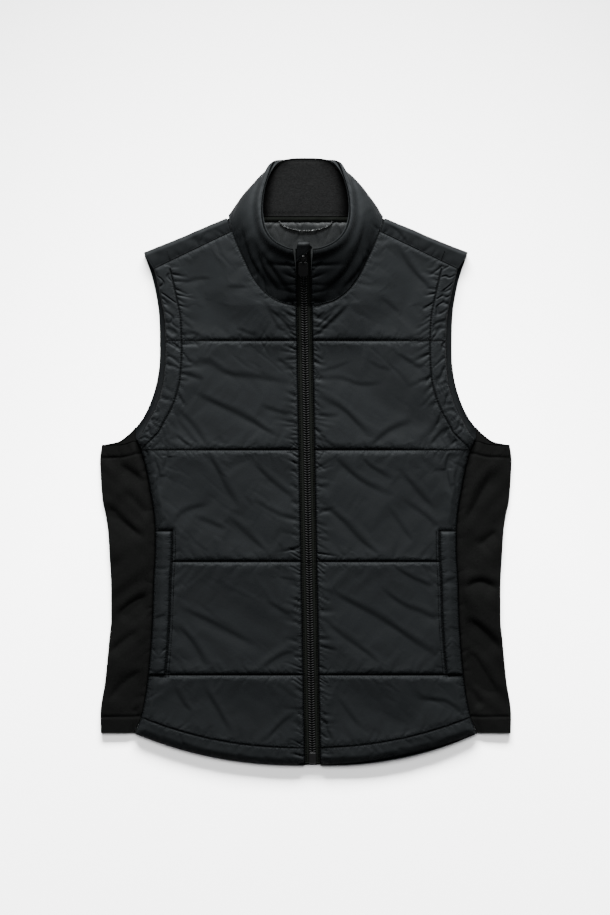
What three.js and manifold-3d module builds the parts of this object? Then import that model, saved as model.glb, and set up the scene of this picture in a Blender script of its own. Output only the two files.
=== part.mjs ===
// A padded vest with a stand collar, laid flat on its back with the front zip closed.
// Millimetres. X runs across the vest, Y from the hem up to the collar, Z up from the surface it lies on.
import * as THREE from "three";
import { mergeVertices } from "three/addons/utils/BufferGeometryUtils.js";
import Module from "manifold-3d";

const wasm = await Module();
wasm.setup();

const { abs, atan2, cos, exp, hypot, max, min, PI, sign, sin } = Math;
const { lerp, clamp, smoothstep } = THREE.MathUtils;
const vec = (x, y, z = 0) => new THREE.Vector3(x, y, z);
const times = (count, make) => Array.from({ length: count }, (_, i) => make(i));
const table = (columns, ...rows) =>
  rows.map((row) => Object.fromEntries(columns.split(" ").map((name, i) => [name, row[i]])));

// Layers, from the surface up
const GAP = 0.3;
const BACK_THICK = 7; // back, with its padding
const BACK_EDGE_THICK = 2.6;
const FRONT_INSIDE = BACK_THICK + GAP; // height of the front's inner face
const FRONT_INSIDE_AT_SIDE = 4.6;
const SEAM_THICK = 2.6; // padded cloth where a line of stitching flattens it
const CROWN_THICK = 9; // padded cloth at its fullest
const PUFF_REACH = 14; // how far from a seam the padding takes to fill out
const EDGE_FALL = 13; // width over which the layers thin towards the side seams
const NECK_LIFT = 5.5; // how far the collar lifts the front neckline
const NECK_LIFT_REACH = 70;

// Lengths up the vest, measured at the front zip
const LENGTH = 736;
const HEM_Y = -LENGTH / 2;
const COLLAR_TOP_Y = LENGTH / 2;
const HEM_STITCH_Y = HEM_Y + 22;
const QUILT_Y = [-258, -121, 14, 146];
const POCKET_TOP_Y = -84;
const POCKET_BOTTOM_Y = QUILT_Y[0];
const NECK_Y = 187.5;
const BACK_NECK_Y = 298;

// Half widths across the vest
const HEM_CURVE = 2.2; // power of the curve that raises the hem towards the side seams
const STITCH_IN = 20; // topstitching of armholes and pockets, in from the edge
const ZIP_HALF = 10.2; // half the width of zip tape that shows
const ZIP_TOP = { x: -3.2, y: 255 };
const ZIP_FOOT = { x: 8.2, y: HEM_Y };

const SIDE_FOLD = table("y x", [-330, 248.5], [-308, 249], [-264, 243], [-217, 238.5], [-190, 236],
  [-158, 236], [-113, 238], [-83, 240], [-61, 243.5], [-47, 246.5], [-12, 249], [2, 249.5], [21, 247]);
const SIDE_SEAM = table("y x", [-330, 208], [-309, 199], [-298, 196.5], [-279, 193], [-253, 190],
  [-219, 187], [-184, 185], [-144, 184], [-107, 182], [-84, 182], [-59, 184], [-36, 188], [-13, 192],
  [13, 199], [28, 206]);
const FRONT_ARMHOLE = table("y x", [20, 247], [21, 226], [25, 211], [31, 201], [47, 192], [63, 183],
  [82, 176], [101, 172], [135, 170], [169, 171], [198, 176], [233, 184]);
const BACK_ARMHOLE = table("y x", [20.5, 247], [24, 230], [34, 214], [50, 199], [75, 187], [100, 180],
  [126, 177], [150, 177], [178, 178], [208, 182.5], [231, 188.5], [253, 197]);
const SHOULDER_FOLD = table("x y", [95.5, 295], [129, 281], [161, 267.2], [197, 253]);
const SHOULDER_SEAM = table("x y", [88.5, 279], [136, 256.1], [184, 233]);

// The collar, a row for each section from the zip round to the back: its seam, its rim, how far it bows out
const COLLAR = table("seamX seamY seamZ rimX rimY rimZ bow",
  [12, NECK_Y, 14, 13, 255, 38, 0],
  [34, 194, 13.8, 24, 258.5, 38, 1],
  [49, 204.5, 13.5, 36, 265, 37, 2],
  [62, 220.5, 13, 45.5, 276, 34, 3],
  [72.5, 241, 12.2, 51, 292, 29, 4.5],
  [82, 262, 11.5, 52, 311, 23.5, 6],
  [88.5, 279, 10.8, 49, 332, 17, 6],
  [92.5, 290.5, 8, 41.5, 353, 10.5, 5],
  [92.8, 296.5, 4.6, 35, 362, 5.6, 3],
  [86, 299.3, 2.1, 28, 365.5, 2.3, 0],
  [60, 299.5, 1.9, 17, 367.5, 1.9, 0],
  [30, 299.5, 1.9, 8, COLLAR_TOP_Y, 1.9, 0],
  [0, 299.5, 1.9, 0, COLLAR_TOP_Y, 1.9, 0]);
const COLLAR_THICK = 3.8;
const FACING_THICK = 1;

// The largest folds: from one end to the other, half width, and depth, which is negative for a ridge
const FRONT_FOLDS = {
  left: table("x1 y1 x2 y2 half depth", [-126, 13, -82, -57, 9, 2.2], [-113, -57, -56, -107, 10, 2.2],
    [-69, 5, -9, -50, 9, 2], [-150, -175, -61, -221, 12, 2.2], [-146, 84, -28, 29, 11, 2.4],
    [-148, 120, -13, 91, 10, 2], [-134, -263, -95, -323, 11, 2]),
  right: table("x1 y1 x2 y2 half depth", [36, 10, 159, -86, 12, 2.6], [16, -47, 81, -109, 12, 2.6],
    [23, -156, 169, -240, 12, 2.6], [83, -156, 166, -201, 10, 2], [15, 74, 80, 24, 11, 2.2],
    [111, 260, 154, 204, 7, 1.8], [125, -279, 185, -305, 10, 2]),
};
const SIDE_FOLDS = {
  left: table("x1 y1 x2 y2 half depth", [-246, -50, -197, -94, 9, 2.4], [-228, -8, -186, -68, 8, 2],
    [-238, -234, -191, -180, 10, 2.2], [-246, -297, -197, -248, 9, 2]),
  right: table("x1 y1 x2 y2 half depth", [190, -128, 237, -83, 9, 2.2], [187, -160, 235, -150, 9, 2.6],
    [193, -188, 240, -234, 10, 2.6], [195, -232, 232, -287, 8, 2]),
};

// A smooth, never overshooting curve through a table: the value of one column at a place along another.
function through(rows, from, to) {
  const x = rows.map((row) => row[from]);
  const y = rows.map((row) => row[to]);
  const slopes = x.slice(1).map((_, i) => (y[i + 1] - y[i]) / (x[i + 1] - x[i]));
  const tangents = x.map((_, i) => {
    const before = slopes[max(i - 1, 0)];
    const after = slopes[min(i, slopes.length - 1)];
    return before * after <= 0 ? 0 : (2 * before * after) / (before + after);
  });
  return (at) => {
    const place = clamp(at, x[0], x[x.length - 1]);
    const i = clamp(x.findIndex((value) => value > place) - 1, 0, x.length - 2);
    const k = place >= x[x.length - 1] ? x.length - 2 : i;
    const width = x[k + 1] - x[k];
    const t = (place - x[k]) / width;
    return (2 * t ** 3 - 3 * t ** 2 + 1) * y[k] + (t ** 3 - 2 * t ** 2 + t) * width * tangents[k]
      + (3 * t ** 2 - 2 * t ** 3) * y[k + 1] + (t ** 3 - t ** 2) * width * tangents[k + 1];
  };
}
const curve = (rows, x = "x", y = "y", z = "z") =>
  new THREE.CatmullRomCurve3(rows.map((row) => vec(row[x], row[y], row[z] ?? 0)));

const sideFold = through(SIDE_FOLD, "y", "x");
const sideSeam = through(SIDE_SEAM, "y", "x");
const frontArmhole = through(FRONT_ARMHOLE, "y", "x");
const frontArmholeY = through([...FRONT_ARMHOLE].reverse().filter((row) => row.y < 30), "x", "y");
const backArmhole = through(BACK_ARMHOLE, "y", "x");
const backArmholeY = through([...BACK_ARMHOLE].reverse().filter((row) => row.y < 60), "x", "y");
const shoulderFoldX = through([...SHOULDER_FOLD].reverse(), "y", "x");
const neckline = curve(COLLAR.slice(0, 7), "seamX", "seamY", "none");
const SIDE_TOP_Y = 28; // where the side seam meets the front armhole
const BACK_SIDE_TOP_Y = 42;
const SIDE_HEM_Y = -329;
const SIDE_STITCH_Y = -309;

const zipX = (y) => lerp(ZIP_FOOT.x, ZIP_TOP.x, (y - ZIP_FOOT.y) / (ZIP_TOP.y - ZIP_FOOT.y));
const frontOuterX = (y) => (y < SIDE_TOP_Y ? sideSeam(y) : frontArmhole(y));
// The collar's seam follows the lean of the zip, less and less towards the shoulder.
const neckLean = (share) => zipX(NECK_Y) * max(1 - 1.5 * share, 0);
const hemRise = (x) => min(abs(x) / sideSeam(SIDE_HEM_Y), 1) ** HEM_CURVE;
const hemY = (x) => lerp(HEM_Y, SIDE_HEM_Y, hemRise(x));
const hemStitchRise = (x) => min(abs(x) / sideSeam(SIDE_STITCH_Y), 1) ** HEM_CURVE;
const hemStitchY = (x) => lerp(HEM_STITCH_Y, SIDE_STITCH_Y, hemStitchRise(x));

// Distance from a point to the nearest of several broken lines.
function distanceTo(lines, x, y) {
  let nearest = Infinity;
  for (const line of lines)
    for (let i = 1; i < line.length; i++) {
      const [a, b] = [line[i - 1], line[i]];
      const [dx, dy] = [b.x - a.x, b.y - a.y];
      const t = clamp(((x - a.x) * dx + (y - a.y) * dy) / (dx * dx + dy * dy || 1), 0, 1);
      nearest = min(nearest, hypot(x - a.x - t * dx, y - a.y - t * dy));
    }
  return nearest;
}
const line = (count, place) => times(count, (i) => place(i / (count - 1)));

function foldDepth(folds, x, y) {
  return folds.reduce((sum, fold) => {
    const along = vec(fold.x2 - fold.x1, fold.y2 - fold.y1);
    const length = along.length();
    const t = ((x - fold.x1) * along.x + (y - fold.y1) * along.y) / length ** 2;
    const across = ((x - fold.x1) * along.y - (y - fold.y1) * along.x) / length;
    const end = sin(PI * clamp(t, 0, 1)) ** 0.6;
    return sum + fold.depth * end * exp(-((across / fold.half) ** 2));
  }, 0);
}

// A closed wall between an inner and an outer grid of points, each rows by columns.
function wall(rows, columns, inner, outer) {
  const points = [inner, outer].flatMap((face) =>
    times(rows, (i) => times(columns, (j) => face(i, j).toArray())).flat());
  const id = (face, i, j) => (face * rows + i) * columns + j;
  const faces = [];
  const quad = (a, b, c, d) => faces.push(a, b, c, a, c, d);
  for (let i = 1; i < rows; i++)
    for (let j = 1; j < columns; j++) {
      quad(id(1, i - 1, j - 1), id(1, i - 1, j), id(1, i, j), id(1, i, j - 1));
      faces.push(id(0, i - 1, j - 1), id(0, i, j), id(0, i - 1, j));
      faces.push(id(0, i - 1, j - 1), id(0, i, j - 1), id(0, i, j));
    }
  for (let j = 1; j < columns; j++) {
    quad(id(0, 0, j - 1), id(0, 0, j), id(1, 0, j), id(1, 0, j - 1));
    quad(id(1, rows - 1, j - 1), id(1, rows - 1, j), id(0, rows - 1, j), id(0, rows - 1, j - 1));
  }
  for (let i = 1; i < rows; i++) {
    quad(id(1, i - 1, 0), id(1, i, 0), id(0, i, 0), id(0, i - 1, 0));
    const last = columns - 1;
    quad(id(0, i - 1, last), id(0, i, last), id(1, i, last), id(1, i - 1, last));
  }
  const geometry = new THREE.BufferGeometry()
    .setAttribute("position", new THREE.Float32BufferAttribute(points.flat(), 3))
    .setIndex(faces);
  return signedVolume(geometry) < 0 ? turnedOver(geometry) : geometry;
}

function signedVolume(geometry) {
  const position = geometry.attributes.position;
  const corner = times(3, () => vec(0, 0));
  let volume = 0;
  for (let i = 0; i < geometry.index.count; i += 3) {
    corner.forEach((point, k) => point.fromBufferAttribute(position, geometry.index.getX(i + k)));
    volume += corner[0].dot(corner[1].cross(corner[2])) / 6;
  }
  return volume;
}

function turnedOver(geometry) {
  const index = Array.from(geometry.index.array);
  for (let i = 0; i < index.length; i += 3) [index[i + 1], index[i + 2]] = [index[i + 2], index[i + 1]];
  return geometry.setIndex(index);
}

// A sheet of cloth about a surface place(u, v), from `below` to `above` along its normal.
// No part of it goes under the surface that the vest lies on.
function sheet(us, vs, place, below, above) {
  const step = 1e-3;
  const offset = (u, v, distance) => {
    const [u0, u1, v0, v1] = [max(u - step, 0), min(u + step, 1), max(v - step, 0), min(v + step, 1)];
    const normal = place(u1, v).sub(place(u0, v)).cross(place(u, v1).sub(place(u, v0))).normalize();
    const point = place(u, v).addScaledVector(normal, distance);
    point.z = max(point.z, 0);
    return point;
  };
  const face = (distance) => (i, j) => offset(us[i], vs[j], distance);
  return wall(us.length, vs.length, face(below), face(above));
}
const evenly = (count) => times(count, (i) => i / (count - 1));

// Solids joined into one.
function joined(...geometries) {
  const [first, ...rest] = geometries.map((geometry) => {
    const bare = new THREE.BufferGeometry().setAttribute("position", geometry.attributes.position);
    const merged = mergeVertices(geometry.index ? bare.setIndex(geometry.index) : bare, 1e-3);
    return new wasm.Manifold(new wasm.Mesh({
      numProp: 3,
      vertProperties: merged.attributes.position.array,
      triVerts: new Uint32Array(merged.index.array),
    }));
  });
  const mesh = rest.reduce((sum, solid) => sum.add(solid), first).getMesh();
  return new THREE.BufferGeometry()
    .setAttribute("position", new THREE.Float32BufferAttribute(mesh.vertProperties, 3))
    .setIndex(Array.from(mesh.triVerts));
}

// How far the collar lifts the front at a point near the neckline
const neckPoints = neckline.getPoints(24);
function neckLift(x, y) {
  const near = 1 - smoothstep(distanceTo([neckPoints], abs(x), y), 0, NECK_LIFT_REACH);
  return NECK_LIFT * near * (1 - 0.75 * clamp((y - NECK_Y) / 92, 0, 1));
}
const zipZ = (y) => (y < NECK_Y
  ? FRONT_INSIDE + 0.7 + neckLift(COLLAR[0].seamX, y)
  : lerp(COLLAR[0].seamZ - 0.5, COLLAR[0].rimZ, (y - NECK_Y) / (ZIP_TOP.y - NECK_Y)));

// FRONTS

// Rows of the front's grid: heights at the zip, then shares of the way along the neckline
const FRONT_ROWS = [
  ...[0, 4, 11, 18].map((up) => HEM_Y + up),
  ...[0, 5, 20, 45, 70, 82].map((up) => HEM_STITCH_Y + up),
  ...[0, 5, 18, 45, 88, 120, 132].map((up) => QUILT_Y[0] + up),
  ...[0, 5, 18].map((up) => QUILT_Y[1] + up),
  POCKET_TOP_Y - 4,
  POCKET_TOP_Y,
  ...[46, 80, 115, 130].map((up) => QUILT_Y[1] + up),
  ...[0, 5, 18, 45, 85, 114, 127].map((up) => QUILT_Y[2] + up),
  ...[0, 5, 18, 31].map((up) => QUILT_Y[3] + up),
  NECK_Y,
];
const NECK_ROWS = [0.12, 0.26, 0.4, 0.54, 0.68, 0.8, 0.9, 0.96, 1];
const INNER_COLUMNS = [0, 4, 14]; // from the zip
const MIDDLE_COLUMNS = [0.2, 0.42, 0.64, 0.84];
const OUTER_COLUMNS = [24, STITCH_IN, 16, 4, 0]; // from the side

// Where a row that starts at y by the zip ends at the side: higher, along the hem
function outerRowY(y) {
  const hemShare = (y - HEM_Y) / (HEM_STITCH_Y - HEM_Y);
  const stitchShare = (y - HEM_STITCH_Y) / (QUILT_Y[0] - HEM_STITCH_Y);
  if (y < HEM_STITCH_Y) return lerp(SIDE_HEM_Y, SIDE_STITCH_Y, hemShare);
  return y < QUILT_Y[0] ? lerp(SIDE_STITCH_Y, QUILT_Y[0], stitchShare) : y;
}

function frontRow(side, row) {
  if (row < FRONT_ROWS.length) {
    const y = FRONT_ROWS[row];
    const outerY = outerRowY(y);
    const from = vec(zipX(y) + side * ZIP_HALF, y);
    return { from, to: vec(side * frontOuterX(outerY), outerY), curve: HEM_CURVE };
  }
  const share = NECK_ROWS[row - FRONT_ROWS.length];
  const from = neckline.getPoint(share);
  const outerY = lerp(NECK_Y, SHOULDER_SEAM.at(-1).y, share);
  from.x = side * from.x + neckLean(share);
  return { from, to: vec(side * frontArmhole(outerY), outerY), curve: 1 };
}

function frontGrid(side) {
  return times(FRONT_ROWS.length + NECK_ROWS.length, (row) => {
    const { from, to, curve: power } = frontRow(side, row);
    const width = abs(to.x - from.x);
    const shares = [
      ...INNER_COLUMNS.map((offset) => offset / width),
      ...MIDDLE_COLUMNS.map((share) => lerp(INNER_COLUMNS.at(-1), width - OUTER_COLUMNS[0], share) / width),
      ...OUTER_COLUMNS.map((offset) => 1 - offset / width),
    ];
    return shares.map((share) => vec(lerp(from.x, to.x, share), lerp(from.y, to.y, share ** power)));
  });
}

// Every line of stitching that flattens a front: seams, quilting, topstitching and turned edges
function frontStitching(side) {
  const at = (x, y) => vec(side * x, y);
  const upTo = (top, from, place) => line(24, (t) => at(place(lerp(from, top, t)), lerp(from, top, t)));
  const quilt = (y) => {
    const onPocket = y < POCKET_TOP_Y;
    return [vec(zipX(y), y), at(frontOuterX(y) - (onPocket ? STITCH_IN : 0), y)];
  };
  return [
    ...QUILT_Y.map(quilt),
    line(12, (t) => vec(zipX(lerp(HEM_Y, NECK_Y, t)) + side * ZIP_HALF, lerp(HEM_Y, NECK_Y, t))),
    neckPoints.map((point) => at(point.x, point.y)),
    SHOULDER_SEAM.map((row) => at(row.x, row.y)),
    upTo(SIDE_TOP_Y, SIDE_HEM_Y, sideSeam),
    upTo(SHOULDER_SEAM.at(-1).y, SIDE_TOP_Y, frontArmhole),
    upTo(SHOULDER_SEAM.at(-1).y, SIDE_TOP_Y, (y) => frontArmhole(y) - STITCH_IN),
    line(24, (t) => at(t * sideSeam(SIDE_STITCH_Y), hemStitchY(t * sideSeam(SIDE_STITCH_Y)))),
    line(24, (t) => at(t * sideSeam(SIDE_HEM_Y), hemY(t * sideSeam(SIDE_HEM_Y)))),
    upTo(POCKET_TOP_Y, POCKET_BOTTOM_Y, (y) => sideSeam(y) - STITCH_IN),
    ...[POCKET_TOP_Y, POCKET_BOTTOM_Y].map((y) => [at(sideSeam(y) - STITCH_IN, y), at(sideSeam(y), y)]),
  ];
}

// The surfaces of one front, as grids of points: inside, and outside with its padding and folds
function frontFaces(side) {
  const grid = frontGrid(side);
  const stitching = frontStitching(side);
  const thinEdges = [
    line(30, (t) => vec(side * sideSeam(lerp(SIDE_HEM_Y, SIDE_TOP_Y, t)), lerp(SIDE_HEM_Y, SIDE_TOP_Y, t))),
    line(24, (t) => vec(side * t * sideSeam(SIDE_HEM_Y), hemY(t * sideSeam(SIDE_HEM_Y)))),
  ];
  const folds = side < 0 ? FRONT_FOLDS.left : FRONT_FOLDS.right;
  const inside = grid.map((row) => row.map(({ x, y }) => {
    const full = smoothstep(distanceTo(thinEdges, x, y), 0, EDGE_FALL - 2);
    return vec(x, y, lerp(FRONT_INSIDE_AT_SIDE, FRONT_INSIDE, full) + neckLift(x, y));
  }));
  const outside = inside.map((row) => row.map((point) => {
    const full = 1 - exp(-distanceTo(stitching, point.x, point.y) / PUFF_REACH);
    const thick = lerp(SEAM_THICK, CROWN_THICK, full) - full * foldDepth(folds, point.x, point.y);
    return vec(point.x, point.y, point.z + thick);
  }));
  return { inside, outside };
}

const inset = (point, side, amount) => vec(point.x - side * amount, point.y, point.z);
const FACES = { left: frontFaces(-1), right: frontFaces(1) };
const COLUMN_COUNT = INNER_COLUMNS.length + MIDDLE_COLUMNS.length + OUTER_COLUMNS.length;

function front(name, side) {
  const { inside, outside } = FACES[name];
  const trim = (faces) => (i, j) => {
    const gap = j === 0 ? -GAP : j === COLUMN_COUNT - 1 ? GAP : 0;
    return inset(faces[i][j], side, gap);
  };
  return wall(inside.length, COLUMN_COUNT, trim(inside), trim(outside));
}

// A pocket welt lies on the front's own points, moved out.
const WELT_THICK = 2.4;
function welt(name, side) {
  const { outside } = FACES[name];
  const firstRow = FRONT_ROWS.indexOf(POCKET_BOTTOM_Y);
  const rowCount = FRONT_ROWS.indexOf(POCKET_TOP_Y) - firstRow + 1;
  const firstColumn = COLUMN_COUNT - OUTER_COLUMNS.length + OUTER_COLUMNS.indexOf(STITCH_IN);
  const columns = COLUMN_COUNT - firstColumn;
  const raised = (height) => (i, j) => {
    const point = outside[firstRow + i][firstColumn + j].clone();
    point.z += height;
    return j === columns - 1 ? inset(point, side, GAP) : point;
  };
  return wall(rowCount, columns, raised(GAP), raised(GAP + WELT_THICK));
}

// BACK

const BACK_ROWS = [
  ...[0, 6, 13].map((up) => SIDE_HEM_Y + up), SIDE_STITCH_Y,
  -280, -240, -184, -144, -107, -84, -59, -36, -13, 13, SIDE_TOP_Y, BACK_SIDE_TOP_Y,
  50, 63, 82, 100, 126, 150, 178, 208, 231, 253, 259, 266, 273, 280, 284, 287, 291, 294, BACK_NECK_Y,
];
const BACK_FALL = 14;
function backHalf(y) {
  const [foldEnd, foldStart] = [SHOULDER_FOLD.at(-1).y, SHOULDER_FOLD[0].y];
  if (y < SIDE_TOP_Y) return sideSeam(y);
  if (y < BACK_SIDE_TOP_Y) return lerp(206, 205, (y - SIDE_TOP_Y) / (BACK_SIDE_TOP_Y - SIDE_TOP_Y));
  if (y < foldEnd) return backArmhole(y);
  return y < foldStart ? shoulderFoldX(y) - 3 : lerp(92.5, 86, (y - foldStart) / (BACK_NECK_Y - foldStart));
}
const BACK_EDGE = [
  line(70, (t) => vec(backHalf(lerp(SIDE_HEM_Y, BACK_NECK_Y, t)), lerp(SIDE_HEM_Y, BACK_NECK_Y, t))),
  [vec(0, BACK_NECK_Y), vec(86, BACK_NECK_Y)],
  line(24, (t) => vec(t * sideSeam(SIDE_HEM_Y), hemY(t * sideSeam(SIDE_HEM_Y)))),
];
const backTop = (x, y) =>
  lerp(BACK_EDGE_THICK, BACK_THICK, smoothstep(distanceTo(BACK_EDGE, abs(x), y), 0, BACK_FALL));

function backSheet() {
  const shares = [0.05, 0.12, 0.35, 0.65, 0.88, 1];
  const columns = [...shares.map((share) => -share).reverse(), 0, ...shares];
  const place = (i, j) => {
    const half = backHalf(BACK_ROWS[i]) - GAP;
    const edge = min(half - 13, half * 0.92);
    const share = abs(columns[j]);
    const x = sign(columns[j]) * (share === 1 ? half : share > 0.8 ? edge : share * half);
    const drop = BACK_ROWS[i] < QUILT_Y[0]
      ? (hemY(x) - SIDE_HEM_Y) * clamp((QUILT_Y[0] - BACK_ROWS[i]) / (QUILT_Y[0] - SIDE_HEM_Y), 0, 1) : 0;
    return vec(x, BACK_ROWS[i] + drop);
  };
  return wall(BACK_ROWS.length, columns.length, place, (i, j) => {
    const point = place(i, j);
    return vec(point.x, point.y, backTop(point.x, point.y));
  });
}

// The shoulder of the back, turned over to meet the front at the shoulder seam
const SHOULDER_THICK = 5;
const SHOULDER_TOP_Z = 10;
function shoulder(side) {
  const fold = curve(SHOULDER_FOLD);
  const seam = curve(SHOULDER_SEAM);
  const middle = SHOULDER_THICK / 2;
  const radius = (SHOULDER_TOP_Z - middle) / 2;
  const place = (u, v) => {
    const top = fold.getPoint(u);
    const end = seam.getPoint(lerp(0.02, 1, u));
    const inward = end.clone().sub(top).setZ(0).normalize();
    const turn = clamp((v - 0.25) / 0.4, 0, 1) * PI;
    const centre = top.clone().addScaledVector(inward, radius + middle);
    const start = centre.clone().addScaledVector(inward, 4);
    const point = v < 0.25 ? start.lerp(centre, v / 0.25)
      : centre.addScaledVector(inward, -radius * sin(turn));
    point.z = middle + radius * (1 - cos(turn));
    if (v > 0.65) {
      const landed = end.addScaledVector(inward, -GAP - 0.4).setZ(SHOULDER_TOP_Z);
      point.lerp(landed, (v - 0.65) / 0.35);
    }
    return vec(side * point.x, point.y, point.z);
  };
  const around = [0, 0.12, 0.25, 0.33, 0.41, 0.49, 0.57, 0.65, 0.8, 1];
  return sheet(evenly(9), around, place, -middle, middle);
}

// SIDE PANELS: knit, from the front seam round the side fold to the back seam

const KNIT_THICK = 1.6;
const SIDE_TOP_Z = 5.6;
function sidePanel(name, side) {
  const low = KNIT_THICK / 2;
  const radius = (SIDE_TOP_Z - KNIT_THICK) / 2 - 0.1;
  const folds = SIDE_FOLDS[name];
  const place = (u, v) => {
    const onTop = v < 0.5;
    const turn = clamp((v - 0.35) / 0.3, 0, 1) * PI;
    const along = onTop ? clamp(v / 0.35, 0, 1) : clamp((1 - v) / 0.35, 0, 1);
    const topX = lerp(sideSeam(SIDE_TOP_Y), sideFold(20), along);
    const bend = smoothstep(v, 0.35, 0.65);
    const topY = lerp(max(frontArmholeY(topX), 20), min(backArmholeY(topX), BACK_SIDE_TOP_Y), bend);
    const y = u < 0 ? SIDE_HEM_Y : lerp(SIDE_HEM_Y, topY, u);
    const foldX = sideFold(y) - KNIT_THICK / 2 - radius;
    const x = lerp(sideSeam(y) + GAP, foldX, along) + radius * sin(turn);
    const wave = onTop ? foldDepth(folds, side * x, y) * sin(PI * min(along, 0.5)) * 0.9 : 0;
    const z = low + radius * (1 + cos(turn)) + max(wave * smoothstep(along, 0, 0.3), 0);
    return vec(side * x, y, z);
  };
  const up = [...BACK_ROWS.filter((y) => y <= SIDE_TOP_Y), BACK_SIDE_TOP_Y]
    .map((y) => (y - SIDE_HEM_Y) / (BACK_SIDE_TOP_Y - SIDE_HEM_Y));
  const across = [0, 0.06, 0.12, 0.18, 0.24, 0.3, 0.35, 0.4, 0.45, 0.5, 0.55, 0.6, 0.65, 0.8, 1];
  return sheet(up, across, place, -low, low);
}

// COLLAR

function collarSections(side) {
  return COLLAR.map((row, index) => ({
    seam: vec(side * row.seamX + neckLean(index / 6), row.seamY, row.seamZ),
    rim: vec(side * row.rimX + (index === 0 ? zipX(row.rimY) : neckLean(index / 6)), row.rimY, row.rimZ),
    bow: row.bow,
  }));
}
// The collar's sections from the left zip edge round the back to the right one
const SECTIONS = [...collarSections(-1), ...collarSections(1).reverse().slice(1)];
const seamCurve = new THREE.CatmullRomCurve3(SECTIONS.map((section) => section.seam));
const rimCurve = new THREE.CatmullRomCurve3(SECTIONS.map((section) => section.rim));
const bowCurve = new THREE.CatmullRomCurve3(SECTIONS.map((section) => vec(section.bow, 0)));

function collarPlace(u, v) {
  const [seam, rim] = [seamCurve.getPoint(u), rimCurve.getPoint(u)];
  const point = seam.clone().lerp(rim, v);
  const outward = vec(sign(point.x || 1), 0.2, 0.5).normalize();
  return point.addScaledVector(outward, bowCurve.getPoint(u).x * sin(PI * v));
}
const COLLAR_AROUND = evenly(45);
const COLLAR_UP = [0.03, 0.12, 0.3, 0.5, 0.7, 0.88, 1];
const FACING_UP = [0.06, 0.3, 0.5, 0.7, 0.985];

function collar() {
  return sheet(COLLAR_AROUND, COLLAR_UP, collarPlace, -COLLAR_THICK / 2, COLLAR_THICK / 2);
}

// The fleece inside the collar
function collarFacing() {
  const near = COLLAR_THICK / 2 + GAP;
  return sheet(COLLAR_AROUND.slice(1, -1), FACING_UP, collarPlace, near, near + FACING_THICK);
}

// INSIDE THE NECK

const LINING_THICK = 0.7;
const LINING_ROWS = [203, 215, 230, 245, 260, 273, 280, 284, 287, 290.5];
const neckHalf = through(COLLAR.slice(0, 7), "seamY", "seamX");
function backLining() {
  const across = evenly(9).map((t) => lerp(-1, 1, t));
  const place = (lift) => (i, j) => {
    const y = LINING_ROWS[i];
    const x = across[j] * (neckHalf(y) - 16);
    return vec(x, y, backTop(0, y) + lift);
  };
  return wall(LINING_ROWS.length, across.length, place(GAP), place(GAP + LINING_THICK));
}

const TAPE = { half: 76, low: 291.2, high: 300.2, z: 5.6, thick: 1.1 };
function neckTape() {
  const middle = (TAPE.low + TAPE.high) / 2;
  const round = new THREE.BoxGeometry(2 * TAPE.half, TAPE.high - TAPE.low, TAPE.thick, 12, 2, 1);
  return round.translate(0, middle, TAPE.z + TAPE.thick / 2);
}

// The hanging loop: its route over the lining, a point at each bend
const LOOP_RADIUS = 1.1;
const LOOP_ROUTE = table("x y z", [-32, 290.8, 7.9], [-29.5, 286.6, 9], [-18, 281.3, 9.5], [0, 278.8, 9.5],
  [18, 281.3, 9.5], [29.5, 286.6, 9], [32, 290.8, 7.9]);
function hangerLoop() {
  const outline = new THREE.Shape().absarc(0, 0, LOOP_RADIUS, 0, 2 * PI);
  return new THREE.ExtrudeGeometry(outline,
    { steps: 18, curveSegments: 6, bevelEnabled: false, extrudePath: curve(LOOP_ROUTE) });
}

// ZIP

const TAPE_THICK = 1;
const CHAIN = { half: 3.2, height: 1.9, from: HEM_Y + 16, to: 238.6 };
const SLIDER = { y: 245, halfLength: 5, halfWidth: 4.2, thick: 2.6 };
const ZIP_SLOPE = atan2(COLLAR[0].rimZ - COLLAR[0].seamZ, ZIP_TOP.y - NECK_Y);
const ZIP_ROWS = [HEM_Y + 3, -300, -200, -100, 0, 90, 117, 130, 142, 154, 166, 177, NECK_Y, 200, 215, ZIP_TOP.y];

function zipStrip(rows, fromX, toX, fromZ, toZ) {
  const place = (z) => (i, j) => vec(zipX(rows[i]) + lerp(fromX, toX, j), rows[i], zipZ(rows[i]) + z);
  return wall(rows.length, 2, place(fromZ), place(toZ));
}
const zipTape = (side) =>
  zipStrip(ZIP_ROWS, side * GAP / 2, side * (ZIP_HALF - GAP), -TAPE_THICK / 2, TAPE_THICK / 2);
function zipChain() {
  const rows = [CHAIN.from, ...ZIP_ROWS.filter((y) => y > CHAIN.from && y < CHAIN.to), CHAIN.to];
  const low = TAPE_THICK / 2 + GAP;
  return zipStrip(rows, -CHAIN.half, CHAIN.half, low, low + CHAIN.height);
}

function slab(outline, thick, bevel = 0.3) {
  const edges = { bevelThickness: bevel, bevelSize: bevel, bevelSegments: 1, curveSegments: 4 };
  return new THREE.ExtrudeGeometry(outline, { depth: thick - 2 * bevel, ...edges }).translate(0, 0, bevel);
}

function roundedOutline(left, bottom, width, height, radius) {
  const shape = new THREE.Shape();
  const [right, top] = [left + width, bottom + height];
  shape.moveTo(left + radius, bottom);
  shape.absarc(right - radius, bottom + radius, radius, -PI / 2, 0);
  shape.absarc(right - radius, top - radius, radius, 0, PI / 2);
  shape.absarc(left + radius, top - radius, radius, PI / 2, PI);
  shape.absarc(left + radius, bottom + radius, radius, PI, 1.5 * PI);
  return shape;
}

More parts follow.
